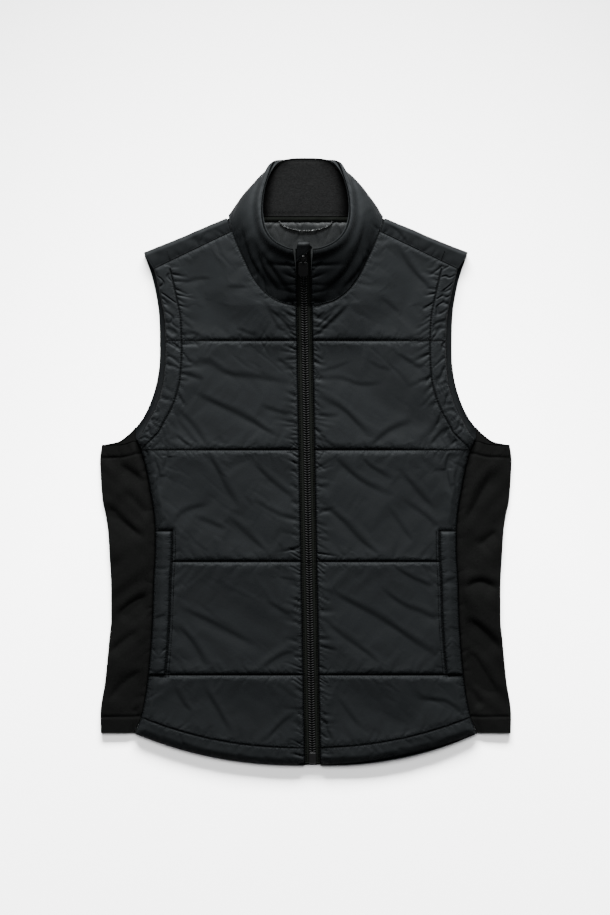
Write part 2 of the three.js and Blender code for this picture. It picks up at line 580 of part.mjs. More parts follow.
// The slider, about its pin: a body and a bridge that holds the pin of the pull
const PIN = { z: 4.3, radius: 0.8 };
const BRIDGE = { half: 3.6, halfWidth: 1.2, top: 6.6, holeHalf: 1.9, holeLow: 3, holeHigh: 5.6 };
function zipSlider() {
  const body = slab(roundedOutline(-SLIDER.halfWidth, -SLIDER.halfLength, 2 * SLIDER.halfWidth,
    2 * SLIDER.halfLength, 2), SLIDER.thick);
  const archFoot = SLIDER.thick - 0.8;
  const arch = roundedOutline(-BRIDGE.half, archFoot, 2 * BRIDGE.half, BRIDGE.top - archFoot, 0.9);
  arch.holes.push(roundedOutline(-BRIDGE.holeHalf, BRIDGE.holeLow, 2 * BRIDGE.holeHalf,
    BRIDGE.holeHigh - BRIDGE.holeLow, 0.5));
  const across = { depth: 2 * BRIDGE.halfWidth, bevelEnabled: false, curveSegments: 4 };
  const bridge = new THREE.ExtrudeGeometry(arch, across)
    .translate(0, 0, -BRIDGE.halfWidth).rotateX(PI / 2).rotateZ(PI / 2);
  return joined(body, bridge);
}

const PULL = { length: 22.5, halfWidth: 5.5, thick: 1.8, armFrom: 1.7, armTo: 3.1, armEnd: -5.4 };
function zipPull() {
  const low = PIN.z - PULL.thick / 2;
  const tab = slab(roundedOutline(-PULL.halfWidth, -PULL.length, 2 * PULL.halfWidth,
    PULL.length + PULL.armEnd + 0.6, 3.4), PULL.thick).translate(0, 0, low);
  const width = PULL.armTo - PULL.armFrom;
  const arms = [-1, 1].map((side) => new THREE.BoxGeometry(width, 1 - PULL.armEnd + 0.6, 1.5)
    .translate(side * (PULL.armFrom + PULL.armTo) / 2, (1 + PULL.armEnd - 0.6) / 2, PIN.z));
  const pin = new THREE.CylinderGeometry(PIN.radius, PIN.radius, 2 * PULL.armFrom + 1, 10)
    .rotateZ(PI / 2).translate(0, 0, PIN.z);
  return joined(tab, ...arms, pin);
}

// A small fold of cloth over the top of the zip, cut on a slant so that the pull is free
const GARAGE = {
  left: -11, right: 13.5, top: 15.5, crown: 4.2, lowLeft: -1, lowRight: 11, foot: 9, folded: -5, bulge: 4, thick: 0.9,
};
function zipGarage() {
  // A sheet is never below z 0, so the fold is made higher up and then moved down
  const lift = 10;
  const place = (u, v) => {
    const turn = clamp((v - 0.45) / 0.35, 0, 1) * PI;
    const start = lerp(GARAGE.lowLeft, GARAGE.lowRight, u);
    const y = v < 0.45 ? lerp(start, GARAGE.top, v / 0.45)
      : v < 0.8 ? GARAGE.top + GARAGE.bulge * sin(turn) : lerp(GARAGE.top, GARAGE.foot, (v - 0.8) / 0.2);
    const z = lerp(GARAGE.crown, GARAGE.folded, (1 - cos(turn)) / 2);
    return vec(lerp(GARAGE.left, GARAGE.right, u), y, z + lift);
  };
  const over = [0, 0.45, 0.51, 0.57, 0.625, 0.68, 0.74, 0.8, 1];
  return sheet([0, 1], over, place, -GARAGE.thick / 2, GARAGE.thick / 2).translate(0, 0, -lift);
}

function zipBox() {
  const box = slab(roundedOutline(-4, 0, 8, 12.5, 1.6), 3.2, 0.5);
  return box.translate(zipX(HEM_Y), HEM_Y + 3, zipZ(HEM_Y) + TAPE_THICK / 2 + GAP);
}

// THE VEST

const vest = new THREE.Group();
const finish = (color, roughness = 0.8) => new THREE.MeshStandardMaterial({ color, roughness, metalness: 0 });
const SHELL = 0x2a2d2f;
const KNIT = 0x191a1a;
const FLEECE = 0x262626;
const LINING = 0x343738;
const ZIP = 0x1d1f1e;
const PLASTIC = 0x111212;

function add(name, geometry, color, roughness, parent = vest) {
  const mesh = new THREE.Mesh(geometry, finish(color, roughness));
  mesh.name = name;
  parent.add(mesh);
}

add("back", joined(backSheet(), shoulder(-1), shoulder(1)), SHELL);
for (const [name, side] of [["left", -1], ["right", 1]]) {
  add(`front_${name}`, front(name, side), SHELL);
  add(`side_${name}`, sidePanel(name, side), KNIT, 0.95);
  add(`pocket_welt_${name}`, welt(name, side), SHELL);
  add(`zip_tape_${name}`, zipTape(side), ZIP, 0.9);
}
add("collar", collar(), SHELL);
add("collar_facing", collarFacing(), FLEECE, 0.95);
add("back_lining", backLining(), LINING);
add("neck_tape", neckTape(), LINING);
add("hanger_loop", hangerLoop(), ZIP, 0.9);
add("zip_chain", zipChain(), PLASTIC, 0.6);
add("zip_box", zipBox(), PLASTIC, 0.4);

const zipHead = new THREE.Group();
zipHead.position.set(zipX(SLIDER.y), SLIDER.y, zipZ(SLIDER.y) + TAPE_THICK / 2 + GAP);
zipHead.rotation.x = ZIP_SLOPE;
add("zip_slider", zipSlider(), PLASTIC, 0.4, zipHead);
add("zip_pull", zipPull(), PLASTIC, 0.5, zipHead);
add("zip_garage", zipGarage(), SHELL, 0.8, zipHead);
vest.add(zipHead);

export default vest;
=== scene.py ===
import math

import bpy
import numpy as np
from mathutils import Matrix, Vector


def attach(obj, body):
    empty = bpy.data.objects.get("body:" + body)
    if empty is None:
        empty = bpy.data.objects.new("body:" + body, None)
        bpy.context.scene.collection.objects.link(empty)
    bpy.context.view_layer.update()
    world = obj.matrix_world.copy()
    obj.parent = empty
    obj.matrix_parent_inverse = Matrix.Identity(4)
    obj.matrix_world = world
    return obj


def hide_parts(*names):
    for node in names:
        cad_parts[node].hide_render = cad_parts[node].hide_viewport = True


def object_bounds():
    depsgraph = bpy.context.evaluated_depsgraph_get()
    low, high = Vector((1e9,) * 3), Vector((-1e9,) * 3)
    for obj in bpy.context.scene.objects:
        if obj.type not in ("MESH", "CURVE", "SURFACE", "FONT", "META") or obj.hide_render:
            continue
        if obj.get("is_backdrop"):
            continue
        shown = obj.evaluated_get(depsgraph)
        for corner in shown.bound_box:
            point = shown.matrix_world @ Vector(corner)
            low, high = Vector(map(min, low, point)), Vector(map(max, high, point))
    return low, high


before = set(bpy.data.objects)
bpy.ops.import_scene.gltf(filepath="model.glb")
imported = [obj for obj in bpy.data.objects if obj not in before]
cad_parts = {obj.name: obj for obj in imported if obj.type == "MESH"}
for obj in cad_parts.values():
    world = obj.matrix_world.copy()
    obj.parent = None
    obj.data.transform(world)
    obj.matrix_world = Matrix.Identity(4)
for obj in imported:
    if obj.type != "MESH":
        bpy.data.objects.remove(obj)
cad_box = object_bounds()

MM = 0.001
VEST = "vest"

# Layers and lengths, as in the solids
GAP = 0.3
BACK_THICK = 7.0
BACK_EDGE_THICK = 2.6
FRONT_INSIDE = BACK_THICK + GAP
FRONT_INSIDE_AT_SIDE = 4.6
CROWN_THICK = 9.0
EDGE_FALL = 13.0
NECK_LIFT = 5.5
NECK_LIFT_REACH = 70.0

LENGTH = 736.0
HEM_Y = -LENGTH / 2
COLLAR_TOP_Y = LENGTH / 2
HEM_STITCH_Y = HEM_Y + 22
QUILT_Y = [-258.0, -121.0, 14.0, 146.0]
POCKET_TOP_Y = -84.0
POCKET_BOTTOM_Y = QUILT_Y[0]
NECK_Y = 187.5
BACK_NECK_Y = 298.0
SIDE_TOP_Y = 28.0
BACK_SIDE_TOP_Y = 42.0
SIDE_HEM_Y = -329.0
SIDE_STITCH_Y = -309.0

HEM_CURVE = 2.2
STITCH_IN = 20.0
ZIP_HALF = 9.5
ZIP_TOP = (-3.2, 255.0)
ZIP_FOOT = (8.2, HEM_Y)

# Outlines, as (y, half width) or (half width, y)
SIDE_FOLD = [(-330, 248.5), (-308, 249), (-264, 243), (-217, 238.5), (-190, 236), (-158, 236), (-113, 238),
             (-83, 240), (-61, 243.5), (-47, 246.5), (-12, 249), (2, 249.5), (21, 247)]
SIDE_SEAM = [(-330, 208), (-309, 199), (-298, 196.5), (-279, 193), (-253, 190), (-219, 187), (-184, 185),
             (-144, 184), (-107, 182), (-84, 182), (-59, 184), (-36, 188), (-13, 192), (13, 199), (28, 206)]
FRONT_ARMHOLE = [(20, 247), (21, 226), (25, 211), (31, 201), (47, 192), (63, 183), (82, 176), (101, 172),
                 (135, 170), (169, 171), (198, 176), (233, 184)]
BACK_ARMHOLE = [(20.5, 247), (24, 230), (34, 214), (50, 199), (75, 187), (100, 180), (126, 177), (150, 177),
                (178, 178), (208, 182.5), (231, 188.5), (253, 197)]
SHOULDER_FOLD = [(95.5, 295), (129, 281), (161, 267.2), (197, 253)]
SHOULDER_SEAM = [(88.5, 279), (136, 256.1), (184, 233)]

# The collar from the zip round to the back: seam x y z, rim x y z, and how far it bows out
COLLAR = [
    (12, NECK_Y, 14, 13, 255, 38, 0),
    (34, 194, 13.8, 24, 258.5, 38, 1),
    (49, 204.5, 13.5, 36, 265, 37, 2),
    (62, 220.5, 13, 45.5, 276, 34, 3),
    (72.5, 241, 12.2, 51, 292, 29, 4.5),
    (82, 262, 11.5, 52, 311, 23.5, 6),
    (88.5, 279, 10.8, 49, 332, 17, 6),
    (92.5, 290.5, 8, 41.5, 353, 10.5, 5),
    (92.8, 296.5, 4.6, 35, 362, 5.6, 3),
    (86, 299.3, 2.1, 28, 365.5, 2.3, 0),
    (60, 299.5, 1.9, 17, 367.5, 1.9, 0),
    (30, 299.5, 1.9, 8, COLLAR_TOP_Y, 1.9, 0),
    (0, 299.5, 1.9, 0, COLLAR_TOP_Y, 1.9, 0),
]
COLLAR_THICK = 3.8
FACING_THICK = 1.0

# Creases pressed into the cloth: half width, depth, and the points along each
CREASES_FRONT = {
    -1: [
        (5, 1.4, [(-155, 212), (-131, 219), (-110, 220)]),
        (5, 1.2, [(-98, 209), (-67, 209)]),
        (6, 1.8, [(-52, 195), (-37, 166), (-28, 158)]),
        (5, 1.4, [(-33, 185), (-11, 168)]),
        (5, 1.3, [(-148, 161), (-124, 147)]),
        (5, 1.3, [(-86, 161), (-57, 149)]),
        (8, 2.0, [(-149, 117), (-119, 117), (-96, 105), (-52, 99), (-13, 92)]),
        (5, 1.2, [(-149, 103), (-121, 98)]),
        (7, 2.8, [(-141, 84), (-105, 67), (-67, 48), (-47, 36), (-28, 26)]),
        (5, 1.6, [(-57, 67), (-13, 53)]),
        (5, 1.4, [(-37, 124), (-13, 110)]),
        (6, 2.0, [(-158, 65), (-136, 41), (-119, 16)]),
        (5, 1.6, [(-161, 55), (-143, 33), (-128, 16)]),
        (5, 1.2, [(-175, 41), (-167, 16)]),
        (5, 1.0, [(-108, 31), (-98, 19)]),
        (7, 2.6, [(-126, 14), (-111, -5), (-96, -36), (-80, -58)]),
        (6, 2.2, [(-69, 3), (-46, -21), (-28, -36), (-9, -49)]),
        (5, 1.6, [(-64, -47), (-37, -63), (-9, -73)]),
        (7, 2.0, [(-96, -67), (-74, -88), (-48, -110)]),
        (6, 1.6, [(-158, -78), (-148, -63), (-116, -52)]),
        (6, 1.6, [(-137, -67), (-96, -83)]),
        (7, 2.2, [(-158, -177), (-137, -185), (-105, -201), (-80, -214), (-59, -224)]),
        (7, 2.6, [(-158, -198), (-142, -214), (-132, -229), (-121, -251)]),
        (5, 1.6, [(-48, -169), (-12, -192)]),
        (4, 1.2, [(-35, -140), (-7, -146)]),
        (6, 1.6, [(-53, -251), (-28, -235), (-7, -229)]),
        (6, 1.8, [(-162, -271), (-148, -294), (-137, -305)]),
        (6, 2.0, [(-126, -271), (-105, -305), (-92, -331)]),
        (6, 1.8, [(-48, -339), (-28, -317), (-7, -303)]),
        (3, 0.8, [(-82, -354), (-77, -365)]),
        (4, 2.6, [(-47, 186), (-27, 168), (-13, 150)]),
        (3, 2.2, [(-35, 181), (-14, 163)]),
        (3, 1.8, [(-25, 179), (-13, 172)]),
        (4, 2.2, [(-40, 163), (-14, 151)]),
        (4, 2.4, [(-160, 34), (-146, 22), (-136, 15)]),
        (4, 2.2, [(-176, 26), (-168, 10), (-170, -12)]),
        (4, 2.2, [(-184, 8), (-178, -16), (-182, -44)]),
    ],
    1: [
        (7, 2.0, [(108, 260), (123, 236), (154, 204)]),
        (6, 1.4, [(89, 197), (113, 178)]),
        (6, 1.8, [(58, 197), (39, 173), (17, 154)]),
        (5, 1.3, [(46, 192), (12, 168)]),
        (4, 0.8, [(12, 107), (37, 113), (60, 122)]),
        (4, 0.8, [(72, 123), (89, 113), (106, 109)]),
        (5, 1.4, [(15, 99), (42, 99), (66, 92), (96, 94)]),
        (7, 2.4, [(12, 77), (42, 63), (58, 48), (78, 26)]),
        (4, 1.2, [(12, 55), (42, 55)]),
        (7, 1.8, [(78, 16), (101, 36), (133, 48)]),
        (5, 1.3, [(106, 132), (147, 105)]),
        (5, 1.4, [(15, 31), (37, 14)]),
        (5, 1.3, [(167, 53), (176, 16)]),
        (7, 2.4, [(26, 12), (44, -6), (66, -24), (104, -44)]),
        (7, 1.8, [(112, -46), (143, -66), (159, -83)]),
        (7, 2.6, [(16, -49), (44, -73), (65, -96), (91, -115)]),
        (6, 1.8, [(65, 10), (73, -3), (105, -24)]),
        (6, 1.8, [(114, -13), (143, -47), (157, -60)]),
        (6, 1.6, [(96, -52), (117, -83), (130, -99)]),
        (4, 1.2, [(12, -31), (31, -29)]),
        (8, 2.8, [(16, -154), (39, -164), (78, -185), (105, -201), (133, -221), (164, -240)]),
        (6, 2.0, [(86, -151), (117, -174), (143, -185), (167, -198)]),
        (5, 1.4, [(105, -128), (133, -144), (159, -154)]),
        (6, 1.8, [(18, -188), (39, -208), (73, -232), (91, -247)]),
        (4, 1.2, [(16, -224), (39, -229)]),
        (6, 1.6, [(34, -283), (49, -303), (65, -323)]),
        (7, 2.0, [(123, -274), (137, -287), (169, -292), (196, -313)]),
        (6, 2.4, [(16, -303), (31, -339)]),
        (4, 2.6, [(13, 151), (30, 168), (50, 186)]),
        (3, 2.2, [(12, 160), (34, 180)]),
        (3, 1.8, [(11, 171), (24, 181)]),
        (4, 2.4, [(150, 18), (160, 30), (172, 42)]),
        (4, 2.2, [(178, 20), (170, -8), (174, -36)]),
        (4, 2.0, [(186, 2), (181, -22), (183, -52)]),
    ],
}
CREASES_SIDE = {
    -1: [
        (6, 2.6, [(-246, -49), (-225, -70), (-194, -96)]),
        (5, 1.6, [(-228, -3), (-212, -13), (-189, -29)]),
        (9, 1.6, [(-223, -33), (-187, -70)]),
        (6, 1.8, [(-230, -190), (-210, -172), (-187, -162)]),
        (6, 1.4, [(-239, -235), (-225, -221), (-200, -203)]),
        (6, 2.0, [(-241, -292), (-221, -269), (-194, -251)]),
        (4, 1.2, [(-210, -305), (-196, -297)]),
    ],
    1: [
        (7, 2.2, [(230, -5), (216, -33), (191, -78)]),
        (5, 1.6, [(208, -104), (234, -83)]),
        (6, 2.4, [(190, -156), (211, -146), (234, -156)]),
        (6, 2.4, [(193, -188), (216, -206), (239, -232)]),
        (6, 2.0, [(196, -226), (216, -260), (234, -287)]),
        (6, 1.8, [(196, -274), (214, -299)]),
    ],
}
CREASES_WELT = {
    -1: [(4, 1.2, [(-184, -130), (-166, -130)]), (4, 2.0, [(-184, -190), (-166, -185)])],
    1: [(4, 1.2, [(167, -146), (185, -140)]), (4, 1.2, [(171, -201), (187, -203)])],
}
CREASES_SHOULDER = [
    (4, 1.4, [(-128, 262), (-119, 283)]),
    (5, 1.6, [(98, 290), (113, 275), (125, 260)]),
]
CREASES_COLLAR = [
    (5, 2.0, [(-80, 293), (-66, 242), (-42, 203)]),
    (6, 2.8, [(-62, 271), (-52, 232), (-28, 198)]),
    (5, 2.0, [(-57, 257), (-37, 227), (-15, 193)]),
    (7, 3.0, [(72, 296), (68, 272), (62, 252), (46, 226), (14, 199)]),
    (5, 1.8, [(80, 262), (68, 234), (42, 204)]),
]
CREASES_LINING = [
    (3, 1.0, [(0, 291), (-11, 265)]),
    (3, 0.8, [(34, 291), (45, 269)]),
    (3, 0.8, [(-34, 292), (-46, 279)]),
]


# Curves and fields

def lerp(a, b, t):
    return a + (b - a) * t


def smoothstep(value, low, high):
    t = np.clip((np.asarray(value, float) - low) / (high - low), 0, 1)
    return t * t * (3 - 2 * t)


def rounded(share):
    """A quarter circle: 0 at an edge, 1 from there on, with share the way to it."""
    return np.sqrt(1 - (1 - np.minimum(share, 1)) ** 2)


def lengths(p):
    """How far along a broken line each of its points is."""
    return np.concatenate([[0], np.cumsum(np.linalg.norm(np.diff(p, axis=0), axis=-1))])


def through(rows):
    """A smooth curve that never overshoots, through (x, y) rows: gives y at any x."""
    x, y = np.array(rows, float).T
    slope = np.diff(y) / np.diff(x)
    before, after = slope[:-1], slope[1:]
    same = before * after > 0
    tangent = np.concatenate([slope[:1], np.zeros(len(x) - 2), slope[-1:]])
    tangent[1:-1][same] = 2 * before[same] * after[same] / (before[same] + after[same])

    def value(at):
        at = np.clip(np.asarray(at, float), x[0], x[-1])
        i = np.clip(np.searchsorted(x, at, side="right") - 1, 0, len(x) - 2)
        width = x[i + 1] - x[i]
        t = (at - x[i]) / width
        return ((2 * t**3 - 3 * t**2 + 1) * y[i] + (t**3 - 2 * t**2 + t) * width * tangent[i]
                + (3 * t**2 - 2 * t**3) * y[i + 1] + (t**3 - t**2) * width * tangent[i + 1])

    return value


def spline(points, t):
    """Points at t, 0 to 1, on a smooth curve through the given ones."""
    p = np.array(points, float)
    spans = len(p) - 1
    p = np.vstack([2 * p[0] - p[1], p, 2 * p[-1] - p[-2]])
    at = np.clip(np.asarray(t, float) * spans, 0, spans)
    i = np.minimum(at.astype(int), spans - 1)
    f = (at - i)[..., None]
    p0, p1, p2, p3 = (p[i + k] for k in range(4))
    d0, d1, d2 = (np.maximum(np.linalg.norm(b - a, axis=-1, keepdims=True) ** 0.5, 1e-4)
                  for a, b in ((p0, p1), (p1, p2), (p2, p3)))
    m1 = ((p1 - p0) / d0 - (p2 - p0) / (d0 + d1) + (p2 - p1) / d1) * d1
    m2 = ((p2 - p1) / d1 - (p3 - p1) / (d1 + d2) + (p3 - p2) / d2) * d1
    return ((2 * f**3 - 3 * f**2 + 1) * p1 + (f**3 - 2 * f**2 + f) * m1
            + (3 * f**2 - 2 * f**3) * p2 + (f**3 - f**2) * m2)


def nearest(line, x, y):
    """Distance from each point to a broken line, and how far along the line that is."""
    best, place, _ = nearest_side(line, x, y)
    return best, place


def nearest_side(line, x, y):
    """As nearest, and on which side of the line: 1 above it, -1 below."""
    best = np.full(np.shape(x), np.inf)
    place = np.zeros(np.shape(x))
    above = np.ones(np.shape(x))
    start = 0.0
    for (ax, ay), (bx, by) in zip(line[:-1], line[1:]):
        dx, dy = bx - ax, by - ay
        length = math.hypot(dx, dy)
        if length == 0:
            continue
        t = np.clip(((x - ax) * dx + (y - ay) * dy) / length**2, 0, 1)
        d = np.hypot(x - ax - t * dx, y - ay - t * dy)
        closer = d < best
        best = np.where(closer, d, best)
        place = np.where(closer, start + t * length, place)
        turn = (dx * (y - ay) - dy * (x - ax)) * (1 if dx >= 0 else -1)
        above = np.where(closer, np.where(turn >= 0, 1, -1), above)
        start += length
    return best, place, above


def ripples(x, y, angle, long, short, seed):
    """Smooth random waves from -1 to 1, long in one direction and short across it."""
    rng = np.random.default_rng(seed)
    lattice = rng.uniform(-1, 1, (64, 64))
    c, s = math.cos(math.radians(angle)), math.sin(math.radians(angle))
    u = (x * c + y * s) / long + rng.uniform(0, 64)
    v = (y * c - x * s) / short + rng.uniform(0, 64)
    iu, iv = np.floor(u).astype(int), np.floor(v).astype(int)
    fu, fv = smoothstep(u - iu, 0, 1), smoothstep(v - iv, 0, 1)
    corner = lambda a, b: lattice[(iu + a) % 64, (iv + b) % 64]
    return lerp(lerp(corner(0, 0), corner(1, 0), fu), lerp(corner(0, 1), corner(1, 1), fu), fv)


def gathers(place, distance, spacing, reach, depth, slant, seed):
    """Short puckers that run out from a line of stitching, uneven in place, length and depth."""
    place, distance = np.broadcast_arrays(place, distance)
    rng = np.random.default_rng(seed)
    count = 400
    shift = rng.uniform(-0.38, 0.38, count)
    strength = rng.uniform(0.2, 1.0, count)
    length = rng.uniform(0.5, 1.5, count)
    width = rng.uniform(0.16, 0.34, count)
    lean = rng.normal(slant, 0.35, count)
    cell = np.floor(place / spacing).astype(int)
    total = np.zeros(np.shape(place))
    for step in (-1, 0, 1):
        k = np.clip(cell + step, 0, count - 1)
        centre = (k + 0.5 + shift[k]) * spacing + lean[k] * distance
        far = distance / (reach * length[k])
        across = np.abs(place - centre) / (width[k] * spacing * (0.6 + 0.8 * far))
        total += strength[k] * np.exp(-across**1.6 - far**2)
    return depth * total * smoothstep(distance, 0, 1.6)


def creased(creases, x, y, wide=1.0):
    """How far creases press the cloth in: a steep fold above each, and a long easy slope below it."""
    total = np.zeros(np.shape(x))
    for number, (half, depth, points) in enumerate(creases):
        p = np.array(points, float)
        margin = 7 * half * wide
        near = ((x > p[:, 0].min() - margin) & (x < p[:, 0].max() + margin)
                & (y > p[:, 1].min() - margin) & (y < p[:, 1].max() + margin))
        if not near.any():
            continue
        line = spline(p, np.linspace(0, 1, 6 * len(p)))
        d, s, above = nearest_side(line, x[near], y[near])
        whole = np.linalg.norm(np.diff(line, axis=0), axis=1).sum()
        wander = 1 + 0.15 * np.sin(s / 11 + number)
        end = smoothstep(s, -0.02 * whole, 0.3 * whole) * smoothstep(whole - s, -0.02 * whole, 0.3 * whole)
        across = d / (half * 0.48 * wide * wander)
        steep = np.exp(-(across**1.8)) - 0.2 * np.exp(-((across - 1.9) / 1.3) ** 2)
        easy = np.exp(-((across / 3.0) ** 1.2))
        total[near] += depth * 0.45 * end * np.where(above > 0, steep, easy)
    return total


# Outlines worked out from the tables

side_fold = through(SIDE_FOLD)
side_seam = through(SIDE_SEAM)
front_armhole = through(FRONT_ARMHOLE)
back_armhole = through(BACK_ARMHOLE)
front_armhole_y = through(sorted((x, y) for y, x in FRONT_ARMHOLE if y < 30))
back_armhole_y = through(sorted((x, y) for y, x in BACK_ARMHOLE if y < 60))
shoulder_fold_x = through(sorted((y, x) for x, y in SHOULDER_FOLD))
NECKLINE = [(row[0], row[1]) for row in COLLAR[:7]]
neck_points = spline(NECKLINE, np.linspace(0, 1, 25))


def front_outer_x(y):
    return np.where(y < SIDE_TOP_Y, side_seam(y), front_armhole(y))


def zip_x(y):
    return lerp(ZIP_FOOT[0], ZIP_TOP[0], (np.asarray(y, float) - ZIP_FOOT[1]) / (ZIP_TOP[1] - ZIP_FOOT[1]))


def neck_lean(share):
    return zip_x(NECK_Y) * np.maximum(1 - 1.5 * share, 0)


def hem_y(x):
    half = float(side_seam(SIDE_HEM_Y))
    return lerp(HEM_Y, SIDE_HEM_Y, np.minimum(np.abs(x) / half, 1) ** HEM_CURVE)


def hem_stitch_y(x):
    half = float(side_seam(SIDE_STITCH_Y))
    return lerp(HEM_STITCH_Y, SIDE_STITCH_Y, np.minimum(np.abs(x) / half, 1) ** HEM_CURVE)


def neck_lift(x, y):
    d, _ = nearest(neck_points, np.abs(x), y)
    return NECK_LIFT * (1 - smoothstep(d, 0, NECK_LIFT_REACH)) * (1 - 0.75 * np.clip((y - NECK_Y) / 92, 0, 1))


def zip_z(y):
    y = np.asarray(y, float)
    low = FRONT_INSIDE + 0.7 + neck_lift(np.full(np.shape(y), COLLAR[0][0]), y)
    high = lerp(COLLAR[0][2] - 0.5, COLLAR[0][5], (y - NECK_Y) / (ZIP_TOP[1] - NECK_Y))
    return np.where(y < NECK_Y, low, high)


def upright(places, y0, y1, count=30):
    """A line of points (places(y), y) from one height to another."""
    y = np.linspace(y0, y1, count)
    return np.stack([places(y), y], axis=-1)


# Meshes

def mesh_object(name, parts, material):
    """An object in metres from parts, each (points in mm, faces)."""
    points, faces, base = [], [], 0
    for part_points, part_faces in parts:
        points.append(np.asarray(part_points, float).reshape(-1, 3))
        faces += [tuple(int(i) + base for i in face) for face in part_faces]
        base += len(points[-1])
    mesh = bpy.data.meshes.new(name)
    mesh.from_pydata((np.vstack(points) * MM).tolist(), [], faces)
    mesh.validate()
    mesh.update()
    mesh.shade_smooth()
    obj = bpy.data.objects.new(name, mesh)
    bpy.context.scene.collection.objects.link(obj)
    obj.data.materials.append(material)
    return obj


def tube_faces(rings, sides, base=0):
    """Faces of a closed tube: rings of points with so many sides, and a cap at both ends."""
    faces = []
    for r in range(rings - 1):
        for n in range(sides):
            a, b = base + r * sides + n, base + r * sides + (n + 1) % sides
            faces.append((a, b, b + sides, a + sides))
    faces.append(tuple(base + n for n in range(sides))[::-1])
    faces.append(tuple(base + (rings - 1) * sides + n for n in range(sides)))
    return faces


def grid_faces(rows, columns, base=0):
    i, j = np.meshgrid(np.arange(rows - 1), np.arange(columns - 1), indexing="ij")
    a = base + i * columns + j
    return np.stack([a, a + 1, a + columns + 1, a + columns], axis=-1).reshape(-1, 4)


def shell(top, bottom, step=4):
    """A closed shell: a fine upper grid, and a lower grid of every step-th row and column of `bottom`."""
    rows, columns = top.shape[:2]
    low = bottom[::step, ::step]
    low_rows, low_columns = low.shape[:2]
    base = rows * columns
    faces = list(grid_faces(rows, columns))
    faces += list(grid_faces(low_rows, low_columns, base)[:, ::-1])
    up = lambda i, j: i * columns + j
    down = lambda i, j: base + i * low_columns + j
    rims = []
    for i, low_i, flip in ((0, 0, True), (rows - 1, low_rows - 1, False)):
        rims.append(([up(i, j) for j in range(columns)], [down(low_i, j) for j in range(low_columns)], flip))
    for j, low_j, flip in ((0, 0, False), (columns - 1, low_columns - 1, True)):
        rims.append(([up(i, j) for i in range(rows)], [down(i, low_j) for i in range(low_rows)], flip))
    for fine, coarse, flip in rims:
        strip = []
        for k in range(len(coarse) - 1):
            start, half = k * step, step // 2
            strip += [(coarse[k], fine[start + m + 1], fine[start + m]) for m in range(half)]
            strip.append((coarse[k], coarse[k + 1], fine[start + half]))
            strip += [(coarse[k + 1], fine[start + m + 1], fine[start + m]) for m in range(half, step)]
        faces += [face[::-1] if flip else face for face in strip]
    points = np.vstack([top.reshape(-1, 3), low.reshape(-1, 3)])
    return outward(points, faces)


def outward(points, faces):
    """The same closed surface with its faces turned outwards."""
    fans = np.array([(face[0], face[k], face[k + 1]) for face in faces for k in range(1, len(face) - 1)])
    a, b, c = (points[fans[:, k]] for k in range(3))
    volume = np.einsum("ij,ij", a, np.cross(b, c))
    return points, [tuple(face)[::-1] if volume < 0 else tuple(face) for face in faces]


def refined(grid):
    """The grid with a new point midway between each two, on smooth curves through them."""
    def along(a):
        p = np.concatenate([2 * a[:1] - a[1:2], a, 2 * a[-1:] - a[-2:-1]])
        middle = (-p[:-3] + 9 * p[1:-2] + 9 * p[2:-1] - p[3:]) / 16
        out = np.empty((2 * len(a) - 1,) + a.shape[1:])
        out[::2] = a
        out[1::2] = middle
        return out

    return along(along(grid).swapaxes(0, 1)).swapaxes(0, 1)


def normals(grid):
    """Unit normals of a grid of points."""
    du = np.gradient(grid, axis=0)
    dv = np.gradient(grid, axis=1)
    n = np.cross(du, dv)
    return n / np.maximum(np.linalg.norm(n, axis=-1, keepdims=True), 1e-9)


CLOTH_SETTINGS = {
    "quality": 5, "mass": 0.15, "tension_stiffness": 12, "compression_stiffness": 12, "shear_stiffness": 6,
    "bending_stiffness": 0.3, "air_damping": 4, "vertex_group_mass": "held", "pin_stiffness": 1,
    "vertex_group_shrink": "gathered", "use_pressure": True,
}


def settle(grid, held, gathered, grow, pressure, cap, frames=14):
    """The face of a padded panel after it settles as cloth over its filling, held along its stitching.

    The cloth is a little longer than the panel, by grow[0] in the open and grow[1] where it is gathered."""
    rows, columns = grid.shape[:2]
    faces = grid_faces(rows, columns)
    if normals(grid)[rows // 2, columns // 2, 2] < 0:
        faces = faces[:, ::-1]
    mesh = bpy.data.meshes.new("settling")
    mesh.from_pydata((grid.reshape(-1, 3) * MM).tolist(), [], faces.tolist())
    mesh.update()
    obj = bpy.data.objects.new("settling", mesh)
    bpy.context.scene.collection.objects.link(obj)
    for name, weight in (("held", held.reshape(-1)), ("gathered", gathered.reshape(-1))):
        group = obj.vertex_groups.new(name=name)
        for index in np.nonzero(weight > 0.02)[0]:
            group.add([int(index)], float(weight[index]), "REPLACE")
    cloth = obj.modifiers.new("cloth", "CLOTH")
    settings = cloth.settings
    for key, value in CLOTH_SETTINGS.items():
        setattr(settings, key, value)
    settings.effector_weights.gravity = 0
    settings.shrink_min, settings.shrink_max = -grow[0], -grow[1]
    settings.uniform_pressure_force = pressure
    cloth.collision_settings.use_collision = False
    cloth.point_cache.frame_start = 1
    cloth.point_cache.frame_end = frames
    scene = bpy.context.scene
    for number in range(1, frames + 1):
        scene.frame_set(number)
    settled = obj.evaluated_get(bpy.context.evaluated_depsgraph_get()).to_mesh()
    flat = np.empty(rows * columns * 3)
    settled.vertices.foreach_get("co", flat)
    moved = flat.reshape(grid.shape) / MM - grid
    bpy.data.objects.remove(obj)
    bpy.data.meshes.remove(mesh)
    scene.frame_set(1)
    far = np.linalg.norm(moved, axis=-1, keepdims=True)
    return grid + moved * (cap / np.maximum(far, cap)) * (1 - held[..., None])


def both_faces(field, step=4):
    """A value for each point of a shell, from those of its upper grid."""
    return np.concatenate([field.reshape(-1), field[::step, ::step].reshape(-1)])


